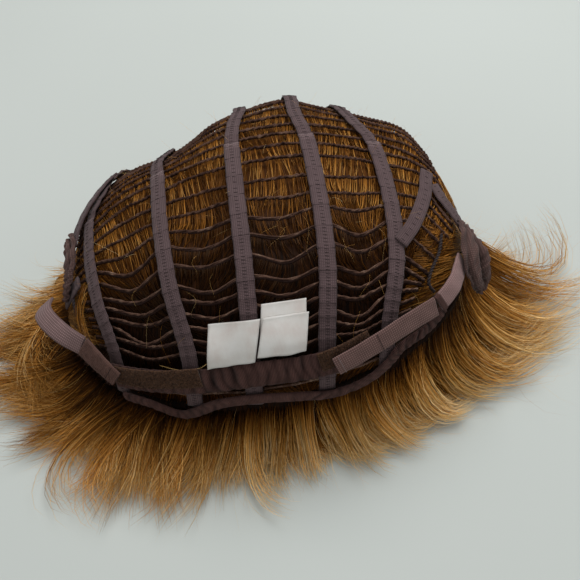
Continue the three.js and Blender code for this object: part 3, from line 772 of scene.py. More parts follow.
# hair hangs from each row and runs on under the rows below it
def domeStrands(rng):
    rowOver = np.array(wefts["over"])
    gaps = np.gradient(rowOver)
    weight = np.interp(rowOver, dome["rowShare"], dome["rowWeight"]) * gaps
    counts = np.round(dome["strands"] * weight / weight.sum()).astype(int)
    starts, spans = [], []
    for row, count in enumerate(counts):
        left, right = weftEnds(rowOver[row])
        across = rng.uniform(left - dome["pastEnds"], right + dome["pastEnds"], count)
        starts.append(np.stack([weftOver(row, across) - dome["belowRow"], across], 1))
        spans.append(gaps[row] * rng.uniform(*dome["span"], count))
    over, across = np.concatenate(starts).T
    span, count = np.concatenate(spans), len(over)
    tuft = np.round(across / dome["tuft"] + 0.3 * np.sin(over * 0.5))
    lower = 1 - smooth(over, *dome["lowerZone"])
    lean = dome["lean"] * np.sin(over * 0.19 + tuft * 0.37)
    lean += lower * dome["lowerLean"] * np.sin(over * 0.07 + across * 0.11 + 1.3)
    lean += rng.normal(0, dome["leanSpread"], count)
    lean -= dome["rightLean"] * np.maximum(across - dome["rightFrom"], 0)
    gather = rng.uniform(*dome["gather"], count) * (tuft * dome["tuft"] - across)
    t, ringLow, ringDeep, ringRadius, ringTone = [
        np.array(dome[key]) for key in ("ring", "ringLow", "ringDeep", "ringRadius", "ringTone")
    ]
    lineAcross = across[:, None] + gather[:, None] * t + lean[:, None] * t**1.5
    lineOver = over[:, None] - span[:, None] * t
    deep = rng.uniform(0, 1, count) ** 1.4 + lower * dome["lowerDeep"]
    lift = np.maximum(ringLow - deep[:, None] * ringDeep, dome["lowest"])
    points = onCap(lineOver, lineAcross, lift * mm)
    radii = dome["radius"] * rng.uniform(*dome["size"], count)[:, None] * ringRadius
    tuftLight = np.sin(tuft * 12.9898 + np.round(over / 6) * 7.233)  # a chance value for each tuft
    lit = (rng.uniform(0, 1, count) < 0.42 + 0.2 * tuftLight) * rng.uniform(0.6, 1, count)
    spread = 0.62 + 0.66 * lit + rng.normal(0, 0.08, count)
    tone = domeTone(lineOver, lineAcross) * spread[:, None] * ringTone
    shade = rng.uniform(*dome["shade"], count)[:, None]
    return points, radii, np.clip(tone, 0, 1), shade, over, across


def addDomeHair(rng):
    points, radii, tone, shade, over, across = domeStrands(rng)
    pole = unit(np.cross(points[:, -1] - points[:, 0], outward(over, across)))[:, None]
    lower = over < dome["parting"]
    for name, part in (("hairUnderNape", lower), ("hairUnderCrown", ~lower)):
        shape = tubes(points[part], radii[part], 3, pole[part], tone[part], shade[part])
        addPiece(name, shape, "hair")


# hair that runs down from the ends of the rows to the rim at both ears
def addSideHair(rng):
    count = sideHair["strands"]
    side = np.where(rng.uniform(0, 1, count) < 0.5, -1, 1)
    over = rng.uniform(*sideHair["over"], count)
    left, right = weftEnds(over)
    start = np.where(side < 0, left + sideHair["tuck"][0], right + sideHair["tuck"][1])
    keys = ("ringSink", "ringRadius", "ringTone")
    ringSink, ringRadius, ringTone = [np.array(sideHair[key]) for key in keys]
    t = np.linspace(0, 1, len(ringSink))
    length = rng.uniform(*sideHair["length"], count)
    across = start[:, None] + (side * sideHair["end"] - start)[:, None] * t * length[:, None]
    drift = rng.normal(*sideHair["drift"], count)[:, None] * t**1.5
    drift = drift + sideHair["wave"] * np.sin(5 * t + rng.uniform(0, 6, count)[:, None])
    lift = sideHair["low"] - rng.uniform(*sideHair["sink"], count)[:, None] * ringSink
    points = onCap(np.clip(over[:, None] + drift, 2, 176), across, lift * mm)
    radii = dome["radius"] * rng.uniform(*sideHair["size"], count)[:, None] * ringRadius
    tone = rng.uniform(*sideHair["tone"], count)[:, None] * ringTone
    pole = unit(np.cross(points[:, -1] - points[:, 0], outward(over, start)))[:, None]
    shade = rng.uniform(*sideHair["shade"], (count, 1))
    addPiece("hairSides", tubes(points, radii, 3, pole, tone, shade), "hair")


domeRng = np.random.default_rng(23)
addDomeBase()
addDomeHair(domeRng)
addSideHair(domeRng)
print("hair under the rows made")


# Hair below the rim

skirt = {
    "turn": (0, 30, 55, 75, 92, 115, 135, 150, 163, 178, 187, 197, 207, 240, 270, 300, 332, 348, 360),
    "reach": (48, 43, 43, 38, 28, 28, 28, 33, 46, 62, 60, 34, 16, 17, 18, 18, 16, 32, 48),  # in mm
    "flip": (5, 4, 3, 3, 3, 4, 5, 5, 7, 10, 16, 10, 5, 4, 4, 4, 4, 5, 5),  # in mm
    "sweepTurn": (0, 15, 30, 45, 60, 75, 86, 94, 106, 120,
                  135, 150, 165, 180, 190, 200, 250, 290, 330, 342, 352, 360),
    "sweepRoot": (8, 26, 30, 22, 10, 4, 0, 2, -6, -26,
                  -46, -64, -70, -46, -22, -20, -8, 8, 42, 44, 20, 8),  # degrees
    "sweepTip": (24, -14, -32, 10, 38, -8, 2, 20, 54, 78,
                 78, 66, 46, 14, 0, -10, 0, 0, 50, 46, 32, 24),
    "bend": (1.2, 1.1, 1.1, 1.1, 1.3, 1.4, 1.4, 1.4, 1.3, 1.1,
             0.9, 0.75, 0.75, 0.8, 1, 1.2, 1.3, 1.3, 1.3, 1.3, 1.3, 1.2),
    "toneShift": (-0.08, -0.13, -0.15, -0.13, -0.05, 0.05, 0.17, 0.2, 0.2, 0.16,
                  0.14, 0.1, 0.06, 0.04, 0.03, 0.03, 0, 0, 0.1, 0.2, 0.14, -0.08),
    "density": (1.2, 1.4, 1.5, 1.6, 1.6, 1.5, 1.4, 1.4, 1.4, 1.5,
                1.6, 1.6, 1.5, 1.2, 0.85, 0.75, 0.5, 0.4, 0.4, 0.25, 0.35, 1.2),
    "lockWidth": (7, 7, 7, 6, 6, 6, 5, 5, 5, 6,
                  7, 7, 7, 6, 7, 9, 8, 7, 7, 8, 8, 7),  # degrees of turn
    "loose": (1.3, 1.2, 1, 0.9, 0.7, 0.6, 0.6, 0.6, 0.6, 0.8,
              1.1, 1.3, 1.4, 1.3, 1.2, 1.1, 1, 1, 1.4, 1.8, 1.8, 1.3),
    "point": (0.3, 0.3, 0.3, 0.2, 0.15, 0.1, 0.1, 0.1, 0.2, 0.3,
              0.45, 0.5, 0.5, 0.5, 0.5, 0.4, 0.4, 0.4, 0.1, 0.1, 0.1, 0.4),  # closing of a lock at its tip
    "share": (1.16, 1.16, 1.16, 1.16, 1.16, 1.16, 1.16, 1.16, 1.16, 1.18,
              1.24, 1.24, 1.12, 1.06, 1.04, 1, 1, 1, 1, 1.1, 1.2, 1.16),  # of the reach
    "baseShare": (0.48, 0.5, 0.52, 0.52, 0.52, 0.48, 0.46, 0.46, 0.46, 0.48,
                  0.5, 0.48, 0.44, 0.36, 0.3, 0.3, 0.4, 0.4, 0.3, 0.3, 0.3, 0.4),
}
skirtParts = {  # turns, locks, strands in a lock, rings in a strand
    "hairLeft": (340, 412, 56, 57, 9),
    "hairNape": (52, 122, 76, 60, 7),
    "hairRight": (122, 208, 50, 58, 9),
    "hairFront": (208, 340, 46, 40, 6),
}
curls = {  # locks that stand out: path in mm, and its headings from above in degrees
    "turn": (84, 50, 56, 152, 167, 176, 181, 186, 184, 357, 3, 10),
    "layer": (0.9, 0.95, 0.9, 0.9, 0.9, 0.9, 0.9, 0.9, 0.95, 0.95, 0.95, 0.9),
    "length": (50, 72, 66, 62, 70, 78, 77, 58, 92, 60, 56, 52),
    "headRoot": (-97, -146, -138, -100, -94, -60, -16, 26, -10, 184, 200, 206),
    "headTip": (-8, -12, -28, 40, 42, 30, 6, -75, 186, 300, 294, 286),
    "bend": (2.2, 2.7, 2.4, 0.7, 0.7, 0.7, 0.9, 1.2, 2.9, 0.7, 0.6, 0.6),
    "lift": (1, 0.6, 0.6, 1.5, 1.4, 1, 1, 0.8, 1.2, 0.6, 0.6, 0.6),
    "strands": 60,
    "rings": 11,
}


skirtBase = {
    "steps": 300,
    "rings": 8,
    "inner": -7.7 * mm,  # outwards from the rim
    "outer": -3.2 * mm,
    "underRim": 7 * mm,
    "leastRoot": 3.4 * mm,
    "rootShare": 0.78,
    "fall": 1.6,
    "top": 0.6 * mm,  # below the rim
    "edge": 0.7 * mm,
    "foot": 0.25 * mm,
    "footShare": 0.6,
    "uneven": 0.16,
    "lumps": 0.12,
    "cloth": 0.06,
    "tone": (0.03, 0.6),
    "shade": 0.8,
}
paths = {  # pairs are for the lowest layer, and more for the top one
    "root": (-6.5 * mm, 2 * mm),  # outwards from the rim
    "waves": 1.15,
    "lands": (0.45, 0.4),  # share of a path
    "low": (0.5 * mm, 3.4 * mm),
    "underRim": 2 * mm,
    "drop": 1.5,
    "tipFrom": 0.55,
    "flip": (0.15, 0.85),
    "floor": 0.3 * mm,
}
lockLook = {  # what chance gives each lock
    "layer": (0.05, 1),
    "layerPower": 0.8,
    "longer": 6 * mm,
    "length": (0.76, 1.12),
    "headRoot": 8,  # degrees
    "headTip": 15,
    "bend": (0.8, 1.25),
    "wave": (5, 20),
    "curlWave": (2, 8),
    "lift": (0.3, 1.2),
    "close": (0.05, 0.35),
    "tone": 0.06,
    "shade": (0.8, 1.15),
}
strandLook = {  # what chance and its place give each strand of a lock
    "width": 0.6,
    "layer": 0.1,
    "short": 0.65,  # share of the strands that are cut short
    "shortCut": (0.42, 1),
    "longCut": (0.86, 1.1),
    "layerLength": 0.44,
    "headRoot": 2,
    "headTip": 6,
    "phase": (0.03, 0.05),
    "wave": (0.8, 1.2),
    "lift": (0.6, 1.4),
    "flatten": (1, 1, 0.4),
    "frizz": 0.7 * mm,
    "radius": 0.15 * mm,
    "size": (0.65, 1.25),
    "taper": ((0, 0.45, 0.8, 1), (1, 1, 0.55, 0.08)),
    # painted shade: the tone rises from dark roots under the rim to the pale tips
    "rise": ((0, 0.12, 0.3, 0.55, 0.85, 1), (0.03, 0.2, 0.46, 0.66, 0.8, 0.86)),
    "tone": 0.13,
    "toneFrom": ((0, 0.3, 1), (0.3, 1, 1)),
    # painted shade: lower layers are darker
    "layerTone": 0.1,
    "shade": (0.75, 1.25),
}


def skirtTable(column, turn):
    return fromTable(skirt["turn"], skirt[column], np.mod(turn, 360)) * mm


def sweepTable(column, turn):
    return np.interp(np.mod(turn, 360), skirt["sweepTurn"], skirt[column])


# a closed ring of under hair that the strands lie on, painted dark as shade, darkest at the rim
def addSkirtBase():
    turn = np.linspace(0, 360, skirtBase["steps"], endpoint=False)
    rim, way = rimPlace(turn), rimOutward(turn)
    reach = skirtTable("reach", turn) * sweepTable("baseShare", turn)
    reach = reach * (1 + skirtBase["uneven"] * np.sin(np.radians(turn * 31)) * np.sin(np.radians(turn * 7)))
    root = np.maximum(rim[:, 2] - skirtBase["underRim"], skirtBase["leastRoot"]) * skirtBase["rootShare"]
    u = np.linspace(0, 1, skirtBase["rings"])
    out = skirtBase["outer"] + (reach[:, None] - skirtBase["outer"]) * u
    lumps = 1 + skirtBase["lumps"] * np.sin(np.radians(turn * 37))[:, None] * (1 - u)
    high = skirtBase["edge"] + root[:, None] * (1 - u) ** skirtBase["fall"] * lumps
    top = (rim[:, 2] - skirtBase["top"])[:, None]
    inner, outer, foot = [np.full_like(top, skirtBase[key]) for key in ("inner", "outer", "foot")]
    outs = np.concatenate([inner, inner, outer, out, reach[:, None] * skirtBase["footShare"]], 1)
    points = rim[:, None] + way[:, None] * outs[..., None]
    points[..., 2] = np.concatenate([foot, top, top, high, foot], 1)
    ids = np.arange(outs.size).reshape(outs.shape)
    faces = gridFaces(np.pad(ids, ((0, 1), (0, 1)), "wrap"))
    spread = np.concatenate([[0, 0.02, 0.04], 0.05 + 0.9 * u, [1]])  # from the inner foot to the outer one
    cloth = np.stack(np.broadcast_arrays(turn[:, None] * mm, spread[None] * skirtBase["cloth"]), -1)
    # painted shade: darkest under the rim, lighter outwards
    dark, more = skirtBase["tone"]
    tone = np.broadcast_to(dark + more * spread**1.15, outs.shape)
    shape = newShape(points.reshape(-1, 3), [faces], cloth.reshape(-1, 2), tone.ravel(), skirtBase["shade"])
    addPiece("hairSkirtBase", shape, "underHair", ["hair_skirt"])


# a value for each layer, from a pair
def byLayer(key, layer):
    return paths[key][0] + paths[key][1] * layer


# paths out from the rim: they fall, lie on the floor and flip up at the tip
def hairPaths(rings, turn, layer, length, headRoot, headTip, bend, wavePhase, waveSize, lift):
    rim, way = rimPlace(turn), rimOutward(turn)
    u = np.linspace(0, 1, rings)
    middle = (u[1:] + u[:-1]) / 2
    start, end = np.radians(headRoot), np.radians(headTip)
    swing = np.sin(2 * np.pi * (paths["waves"] * middle + wavePhase[:, None])) * middle**0.5
    angle = start[:, None] + (end - start)[:, None] * middle ** bend[:, None] + waveSize[:, None] * swing
    run = length[:, None] * np.diff(u)
    origin = rim + way * byLayer("root", layer)[:, None]
    zero = np.zeros((len(turn), 1))
    planX = origin[:, :1] + np.concatenate([zero, np.cumsum(np.cos(angle) * run, 1)], 1)
    planY = origin[:, 1:2] + np.concatenate([zero, np.cumsum(np.sin(angle) * run, 1)], 1)
    fall = np.clip(u / byLayer("lands", layer)[:, None], 0, 1)
    low = byLayer("low", layer)
    high = np.maximum(layer * (rim[:, 2] - paths["underRim"]), low)
    tip = np.clip((u - paths["tipFrom"]) / (1 - paths["tipFrom"]), 0, 1)
    flip = skirtTable("flip", turn) * byLayer("flip", layer) * lift
    z = low[:, None] + (high - low)[:, None] * (1 - fall) ** paths["drop"] + flip[:, None] * tip**2
    return np.stack([planX, planY, z], -1)


# locks of nearly parallel strands that close up half way out and part again at the tips
def lockStrands(lock, each, rings, rng):
    look, locks = strandLook, len(lock["turn"])
    owner = np.repeat(np.arange(locks), each)
    count = len(owner)
    own = {key: values[owner] for key, values in lock.items()}
    across = rng.uniform(-1, 1, count)
    own["turn"] = own["turn"] + across * sweepTable("lockWidth", own["turn"]) * look["width"]
    layer = own["layer"] + rng.normal(0, look["layer"], count) - look["layer"] * across**2
    own["layer"] = np.clip(layer, 0.02, 1)
    short = rng.uniform(0, 1, count) < look["short"]
    cut = np.where(short, rng.uniform(*look["shortCut"], count), rng.uniform(*look["longCut"], count))
    own["length"] = own["length"] * (1 - look["layerLength"] * (1 - own["layer"])) * cut
    loose = sweepTable("loose", own["turn"])
    own["headRoot"] = own["headRoot"] + rng.normal(0, look["headRoot"], count)
    own["headTip"] = own["headTip"] + (across + rng.normal(0, 1, count)) * look["headTip"] * loose
    own["wavePhase"] = own["wavePhase"] + rng.normal(0, look["phase"][0], count) + look["phase"][1] * across
    own["waveSize"] = own["waveSize"] * rng.uniform(*look["wave"], count)
    own["lift"] = own["lift"] * rng.uniform(*look["lift"], count)
    path = hairPaths(rings, **own)
    middle = hairPaths(rings, **lock)[owner]
    u = np.linspace(0, 1, rings)
    close = rng.uniform(*lockLook["close"], locks)[owner][:, None] * np.sin(np.pi * u)
    tight = rng.uniform(0, 1, locks) * sweepTable("point", lock["turn"])
    point = tight[owner][:, None] * u**1.6
    path = path + (middle - path) * (close + point)[..., None] * np.array(look["flatten"])
    frizz = rng.normal(0, look["frizz"], (count, 1, 3)) * loose[:, None, None]
    path = path + frizz * (u**2)[:, None]
    path[..., 2] = np.maximum(path[..., 2], paths["floor"])
    radii = look["radius"] * rng.uniform(*look["size"], count)[:, None] * np.interp(u, *look["taper"])
    bright = rng.normal(0, lockLook["tone"], locks)[owner] + rng.normal(0, look["tone"], count)
    bright = bright + sweepTable("toneShift", own["turn"])
    # painted shade: darkest at the root under the rim, and darker in the lower layers
    tone = np.interp(u, *look["rise"]) + bright[:, None] * np.interp(u, *look["toneFrom"])
    tone = tone + look["layerTone"] * (own["layer"] - 0.6)[:, None]
    shade = rng.uniform(*lockLook["shade"], locks)[owner] * rng.uniform(*look["shade"], count)
    return path, radii, np.clip(tone, 0, 1), shade[:, None]


def addHair(name, lock, each, rings, rng):
    path, radii, tone, shade = lockStrands(lock, each, rings, rng)
    pole = unit(np.cross(path[:, -1] - path[:, 0], (0, 0, 1)))[:, None]
    addPiece(name, tubes(path, radii, 3, pole, tone, shade), "hair")
    print(name, "strands:", len(path))


# locks spread round the rim, with headings from the tables and some chance
def spreadLocks(first, last, locks, rng):
    around = np.linspace(first, last, 200)
    share = np.cumsum(sweepTable("density", around))
    place = (np.arange(locks) + rng.uniform(0, 1, locks)) / locks
    turn = np.interp(place, share / share[-1], around)
    reach = skirtTable("reach", turn) * sweepTable("share", turn) + lockLook["longer"]
    loose = sweepTable("loose", turn)
    return {
        "turn": turn,
        "layer": rng.uniform(*lockLook["layer"], locks) ** lockLook["layerPower"],
        "length": reach * rng.uniform(*lockLook["length"], locks),
        "headRoot": turn - 180 + sweepTable("sweepRoot", turn) + rng.normal(0, lockLook["headRoot"], locks),
        "headTip": turn - 180 + sweepTable("sweepTip", turn)
        + rng.normal(0, lockLook["headTip"], locks) * loose,
        "bend": sweepTable("bend", turn) * rng.uniform(*lockLook["bend"], locks),
        "wavePhase": rng.uniform(0, 1, locks),
        "waveSize": np.radians(rng.uniform(*lockLook["wave"], locks)),
        "lift": rng.uniform(*lockLook["lift"], locks),
    }


def standingLocks(rng):
    locks = len(curls["turn"])
    keys = ("turn", "layer", "length", "headRoot", "headTip", "bend", "lift")
    lock = {key: np.array(curls[key], float) for key in keys}
    lock["length"] = lock["length"] * mm
    lock["wavePhase"] = rng.uniform(0, 1, locks)
    lock["waveSize"] = np.radians(rng.uniform(*lockLook["curlWave"], locks))
    return lock


addSkirtBase()
skirtRng = np.random.default_rng(37)
for name, (first, last, locks, each, rings) in skirtParts.items():
    addHair(name, spreadLocks(first, last, locks, skirtRng), each, rings, skirtRng)
addHair("hairCurls", standingLocks(skirtRng), curls["strands"], curls["rings"], skirtRng)


# Loose hairs, and a lock that hangs over the left ear

strays = {
    "rings": 9,
    "taper": ((0, 0.8, 1), (1, 0.8, 0.2)),
    "toneSpread": 0.15,
    "tipTone": 0.1,
    "highest": 90 * mm,
}
skirtStray = {
    "count": 430,
    "radius": 0.034 * mm,
    "tone": 0.74,
    "turn": (-20, 205),
    "layer": (0.3, 1),
    "reach": 1.1,  # shares of the skirt's reach, and more
    "longer": 5 * mm,
    "length": (0.9, 1.2),
    "headRoot": 14,  # degrees
    "headTip": 45,
    "bend": (1, 2),
    "wave": (5, 35),
    "lift": (0.3, 1.6),
}
crownStray = {
    "count": 150,
    "radius": 0.034 * mm,
    "tone": 0.74,
    "over": (70, 172),
    "across": (-58, 52),
    "low": -2 * mm,
    "lean": 0.55,
    "curl": 0.4,
    "length": (2, 8),  # in mm
}
rowStray = {  # come out between the rows and lie over them
    "count": 36,
    "radius": 0.023 * mm,
    "tone": 0.66,
    "over": (34, 96),
    "across": (-56, 40),
    "lean": 4,  # degrees across
    "curl": 0.9,
    "length": (6, 20),  # degrees over
    "low": -2,  # in mm, as the next
    "rise": (1.6, 3.4),
}
napeStray = {  # one pale hair that lies over the rows at the nape
    "radius": 0.075 * mm,
    "tone": 1,
    "rows": [(25, -28, 2.4), (23.4, -20, 3.4), (27, -14.8, 3.4), (34, -12.6, 2.8), (43, -12, 2)],
}
earLock = {
    "rows": [(66, -55, 0.6), (57, -56.5, 1.8), (46, -55.5, 2.6), (37, -53.5, 3), (29, -52, 2.6)],
    "strands": 30,
    "rings": 9,
    "radius": 0.11 * mm,
    "size": (0.6, 1.2),
    "taper": ((0, 0.7, 1), (1, 0.9, 0.15)),
    "aside": 1.1,  # degrees across
    "higher": (-0.8, 0.8),  # in mm
    "along": 3,  # degrees over
    "tone": (0.45, 0.14),
    "tipTone": 0.12,
    "shade": (0.7, 1.2),
    "middle": (48.0, -59.0),
}


def skirtStrayPaths(rng):
    look, count = skirtStray, skirtStray["count"]
    turn = rng.uniform(*look["turn"], count)
    reach = skirtTable("reach", turn) * look["reach"] + look["longer"]
    lock = {
        "turn": turn,
        "layer": rng.uniform(*look["layer"], count),
        "length": reach * rng.uniform(*look["length"], count),
        "headRoot": turn - 180 + sweepTable("sweepRoot", turn) + rng.normal(0, look["headRoot"], count),
        "headTip": turn - 180 + sweepTable("sweepTip", turn) + rng.normal(0, look["headTip"], count),
        "bend": rng.uniform(*look["bend"], count),
        "wavePhase": rng.uniform(0, 1, count),
        "waveSize": np.radians(rng.uniform(*look["wave"], count)),
        "lift": rng.uniform(*look["lift"], count),
    }
    return hairPaths(strays["rings"], **lock)


def crownStrayPaths(rng, u):
    look, count = crownStray, crownStray["count"]
    over, across = rng.uniform(*look["over"], count), rng.uniform(*look["across"], count)
    away = unit(outward(over, across) + rng.normal(0, look["lean"], (count, 3)))
    curl = rng.normal(0, look["curl"], (count, 3))
    length = rng.uniform(*look["length"], count)[:, None, None] * mm
    base = onCap(over, across, look["low"])
    return base[:, None] + length * (away[:, None] * u[:, None] + curl[:, None] * (u**2)[:, None])


def rowStrayPaths(rng, u):
    look, one = rowStray, (rowStray["count"], 1)
    over, across = rng.uniform(*look["over"], one), rng.uniform(*look["across"], one)
    lean, curl = rng.normal(0, look["lean"], one), rng.normal(0, look["curl"], one)
    lineOver = over - rng.uniform(*look["length"], one) * u
    lineAcross = across + lean * u**1.5 + curl * np.sin(5 * u)
    lift = look["low"] + rng.uniform(*look["rise"], one) * np.sqrt(np.minimum(u / 0.5, 1))
    return onCap(lineOver, lineAcross, lift * mm)


def napeStrayPath():
    over, across, lift = smoothRoute(napeStray["rows"], strays["rings"]).T
    return onCap(over, across, lift * mm)[None]


def addStrays(rng):
    u = np.linspace(0, 1, strays["rings"])
    groups = [skirtStrayPaths(rng), crownStrayPaths(rng, u), rowStrayPaths(rng, u), napeStrayPath()]
    looks, sizes = [skirtStray, crownStray, rowStray, napeStray], [len(group) for group in groups]
    radius, tone = [np.repeat([look[key] for look in looks], sizes)[:, None] for key in ("radius", "tone")]
    points = np.concatenate(groups)
    points[..., 2] = np.clip(points[..., 2], paths["floor"], strays["highest"])
    tone = tone + rng.normal(0, strays["toneSpread"], tone.shape) + strays["tipTone"] * u
    pole = unit(rng.normal(0, 1, (len(points), 1, 3)))
    shape = tubes(points, radius * np.interp(u, *strays["taper"]), 3, pole, np.clip(tone, 0, 1))
    addPiece("hairStrays", shape, "hair")


def addEarLock(rng):
    look, count = earLock, earLock["strands"]
    over, across, lift = smoothRoute(look["rows"], look["rings"]).T
    u = np.linspace(0, 1, look["rings"])
    aside = rng.normal(0, look["aside"], count)[:, None] * (0.5 + 0.7 * u)
    higher = rng.uniform(*look["higher"], count)[:, None]
    along = rng.normal(0, look["along"], count)[:, None]
    points = onCap(over + along, across + aside, (lift + higher) * mm)
    radii = look["radius"] * rng.uniform(*look["size"], count)[:, None] * np.interp(u, *look["taper"])
    tone = np.clip(rng.normal(*look["tone"], count)[:, None] + look["tipTone"] * u, 0, 1)
    pole = unit(np.cross(points[:, -1] - points[:, 0], outward(*look["middle"])))[:, None]
    shade = rng.uniform(*look["shade"], (count, 1))
    addPiece("hairOverLeftEar", tubes(points, radii, 3, pole, tone, shade), "hair")


looseRng = np.random.default_rng(43)
addStrays(looseRng)
addEarLock(looseRng)
print("loose hairs made")


# Straps

straps = {
    "start": 3,
    "joint": 106,
    "crownStart": 106.3,
    "end": 170,
    "backWidth": 7 * mm,
    "crownWidth": 6.2 * mm,
    "backLow": -0.5,  # lower face over the cap, in mm
    "crownLow": -0.1,
    "crownTuck": -0.7,  # where the crown part comes out from under the back part
    "tuckRun": 5,  # degrees over
    "thick": 1 * mm,
    "steps": 90,
    "hump": 0.3 * mm,
    "humpPast": 1.5,  # degrees past each row, as the next
    "humpWidth": 1.1,
    "edgeDrop": 0.14 * mm,
    "wobble": 0.05 * mm,
    "threadRadius": 0.11 * mm,
    "ladderRadius": 0.132 * mm,
    "stitchStep": 1.6 * mm,
    "stitchLength": 1.7 * mm,
    "stitchLean": 0.08,  # share of a step
    "stitchStand": 0.08 * mm,
    "rowStand": 0.05 * mm,
    "rowPast": 1.2,  # degrees past each row
    "foldSeams": (0.974, 0.982, 0.99),  # places along the back part
}


# the tape humps a little over each row, and its edges are lower
def strapRise(start, end):
    rows = np.array(wefts["over"])

    def rise(u, v):
        at = start + (end - start) * u
        apart = (at[..., None] - rows - straps["humpPast"]) / straps["humpWidth"]
        humps = straps["hump"] * np.exp(-apart**2).sum(-1)
        return humps - straps["edgeDrop"] * v**2 + straps["wobble"] * np.sin(at * 1.3 + 4 * v)

    return rise


# painted shade: darker towards both edges
def strapShade(u, v):
    return 1 - 0.25 * np.abs(v) ** 6 + 0 * u


# the same, with a paler folded end at the joint
def backShade(u, v):
    return strapShade(u, v) + 0.35 * smooth(u, 0.972, 0.985)


# places on the upper face of a tape, which is its line, width, thickness and rise
def onTape(tape, u, v):
    line, width, thick, rise = tape
    at = np.linspace(0, 1, len(line[0]))
    mid, side, up = [np.stack([np.interp(u, at, part[:, c]) for c in range(3)], -1) for part in line]
    return mid + side * (v * width / 2)[:, None] + up * (thick + rise(u, v))[:, None], side, up


# bars of thread across a tape
def crossBars(tape, u, half, stand):
    begin, end = [onTape(tape, u, np.full(len(u), v)) for v in (-half, half)]
    return stitchShape(begin[0], end[0], begin[2], straps["threadRadius"], stand)


def addStrap(name, part, start, end, width, shadeAt):
    over = np.linspace(start, end, straps["steps"])
    low = np.full(len(over), straps["backLow"])
    if part == "crown":
        rise = (straps["crownLow"] - straps["crownTuck"]) * smooth(over, start, start + straps["tuckRun"])
        low = straps["crownTuck"] + rise
    line = tapeLine(np.stack([over, strapAcross(name, over), low], 1))
    tape = (line, width, straps["thick"], strapRise(start, end))
    wander = width * (1 + 0.025 * np.sin(over * 0.7) + 0.02 * np.sin(over * 1.9 + 2))
    label = pieceName(f"{name}-{part}")
    shape = tapeShape(line, wander, *tape[2:], shadeAt=shadeAt)
    addPiece("strap-" + label, shape, "strap", [f"strap_{name}_{part}"])
    count = int(lengthAlong(line[0])[-1] / straps["stitchStep"])
    u = (np.arange(count) + 0.5) / count
    lean, half = straps["stitchLean"] / count, np.full(count, straps["stitchLength"] / width)
    left, right = onTape(tape, u - lean, -half), onTape(tape, u + lean, half)
    ladder = stitchShape(left[0], right[0], left[2], straps["ladderRadius"], straps["stitchStand"])
    rows = np.array([row for row in wefts["over"] if start + 1 < row < end - 1])
    held = crossBars(tape, (rows + straps["rowPast"] - start) / (end - start), 0.97, straps["rowStand"])
    addPiece("stitches-" + label, joinShapes([ladder, held]), "strapThread")
    if part == "back":
        seams = crossBars(tape, np.array(straps["foldSeams"]), 0.95, straps["stitchStand"])
        addPiece("fold-seam-" + label, seams, "paleThread")


for name in strapNames:
    addStrap(name, "back", straps["start"], straps["joint"], straps["backWidth"], backShade)
    addStrap(name, "crown", straps["crownStart"], straps["end"], straps["crownWidth"], strapShade)
print("straps made:", len(strapNames))


# Side straps and ear bindings

sideTapes = {  # width in mm, then over, across and lift in mm
    "diagonal_strap_right": (6.2, [(97, 47.5, 0.8), (83.6, 42.8, 0.8), (71, 37.4, 0.7), (63, 32.4, 0.6)]),
    "diagonal_strap_left": (7, [(128, -44, 1.6), (117, -51, 1.6), (104, -59, 1.6), (96, -61, 1.6)]),
    "side_strap_right": (7, [(93, 50, -0.5), (86, 56, -0.5), (78, 62, -0.5), (69, 66, -0.5)]),
    "side_strap_left": (7, [(74, -59, -0.5), (70, -63, -0.5), (66, -67, -0.5), (63, -70, -0.5)]),
}
sideLook = {"steps": 50, "wobble": 0.08 * mm, "stitches": 14}
earBindings = {  # over and across
    "ear_binding_right": [(66, 48.6), (55.6, 46.4), (46.2, 42.4), (40.2, 41.4), (34, 43.5)],
    "ear_binding_left": [(62.2, -62.6), (48, -60), (38, -56.5), (28, -53)],
}
bindingLook = {
    "steps": 120,
    "lift": 0.3 * mm,
    "plyRadius": 0.42 * mm,
    "ropeRadius": 0.36 * mm,
    "pitch": 3 * mm,
}


# rows of over and across, all at one lift in mm
def atLift(rows, lift):
    return [(*row, lift) for row in rows]


def sideRise(u, v):
    return sideLook["wobble"] * np.sin(40 * u + 2 * v)


def addSideTape(name, width, rows):
    line = tapeLine(smoothRoute(rows, sideLook["steps"]))
    tape = (line, width, straps["thick"], sideRise)
    addPiece(pieceName(name), tapeShape(*tape, shadeAt=strapShade), "strap", [name])
    u = np.linspace(0.03, 0.97, sideLook["stitches"])
    stitches = crossBars(tape, u, straps["stitchLength"] / width, straps["stitchStand"])
    addPiece("stitches-" + pieceName(name), stitches, "strapThread")


def addEarBinding(name, rows):
    look = bindingLook
    point, sideways, up = tapeLine(smoothRoute(atLift(rows, 0), look["steps"]))
    cord = ropeShape(point + up * look["lift"], up, look["plyRadius"], look["ropeRadius"], look["pitch"])
    addPiece(pieceName(name), cord, "darkThread", [name])


for name, (width, rows) in sideTapes.items():
    addSideTape(name, width * mm, rows)
for name, rows in earBindings.items():
    addEarBinding(name, rows)
print("side straps made:", len(sideTapes))


# Bands round the rim

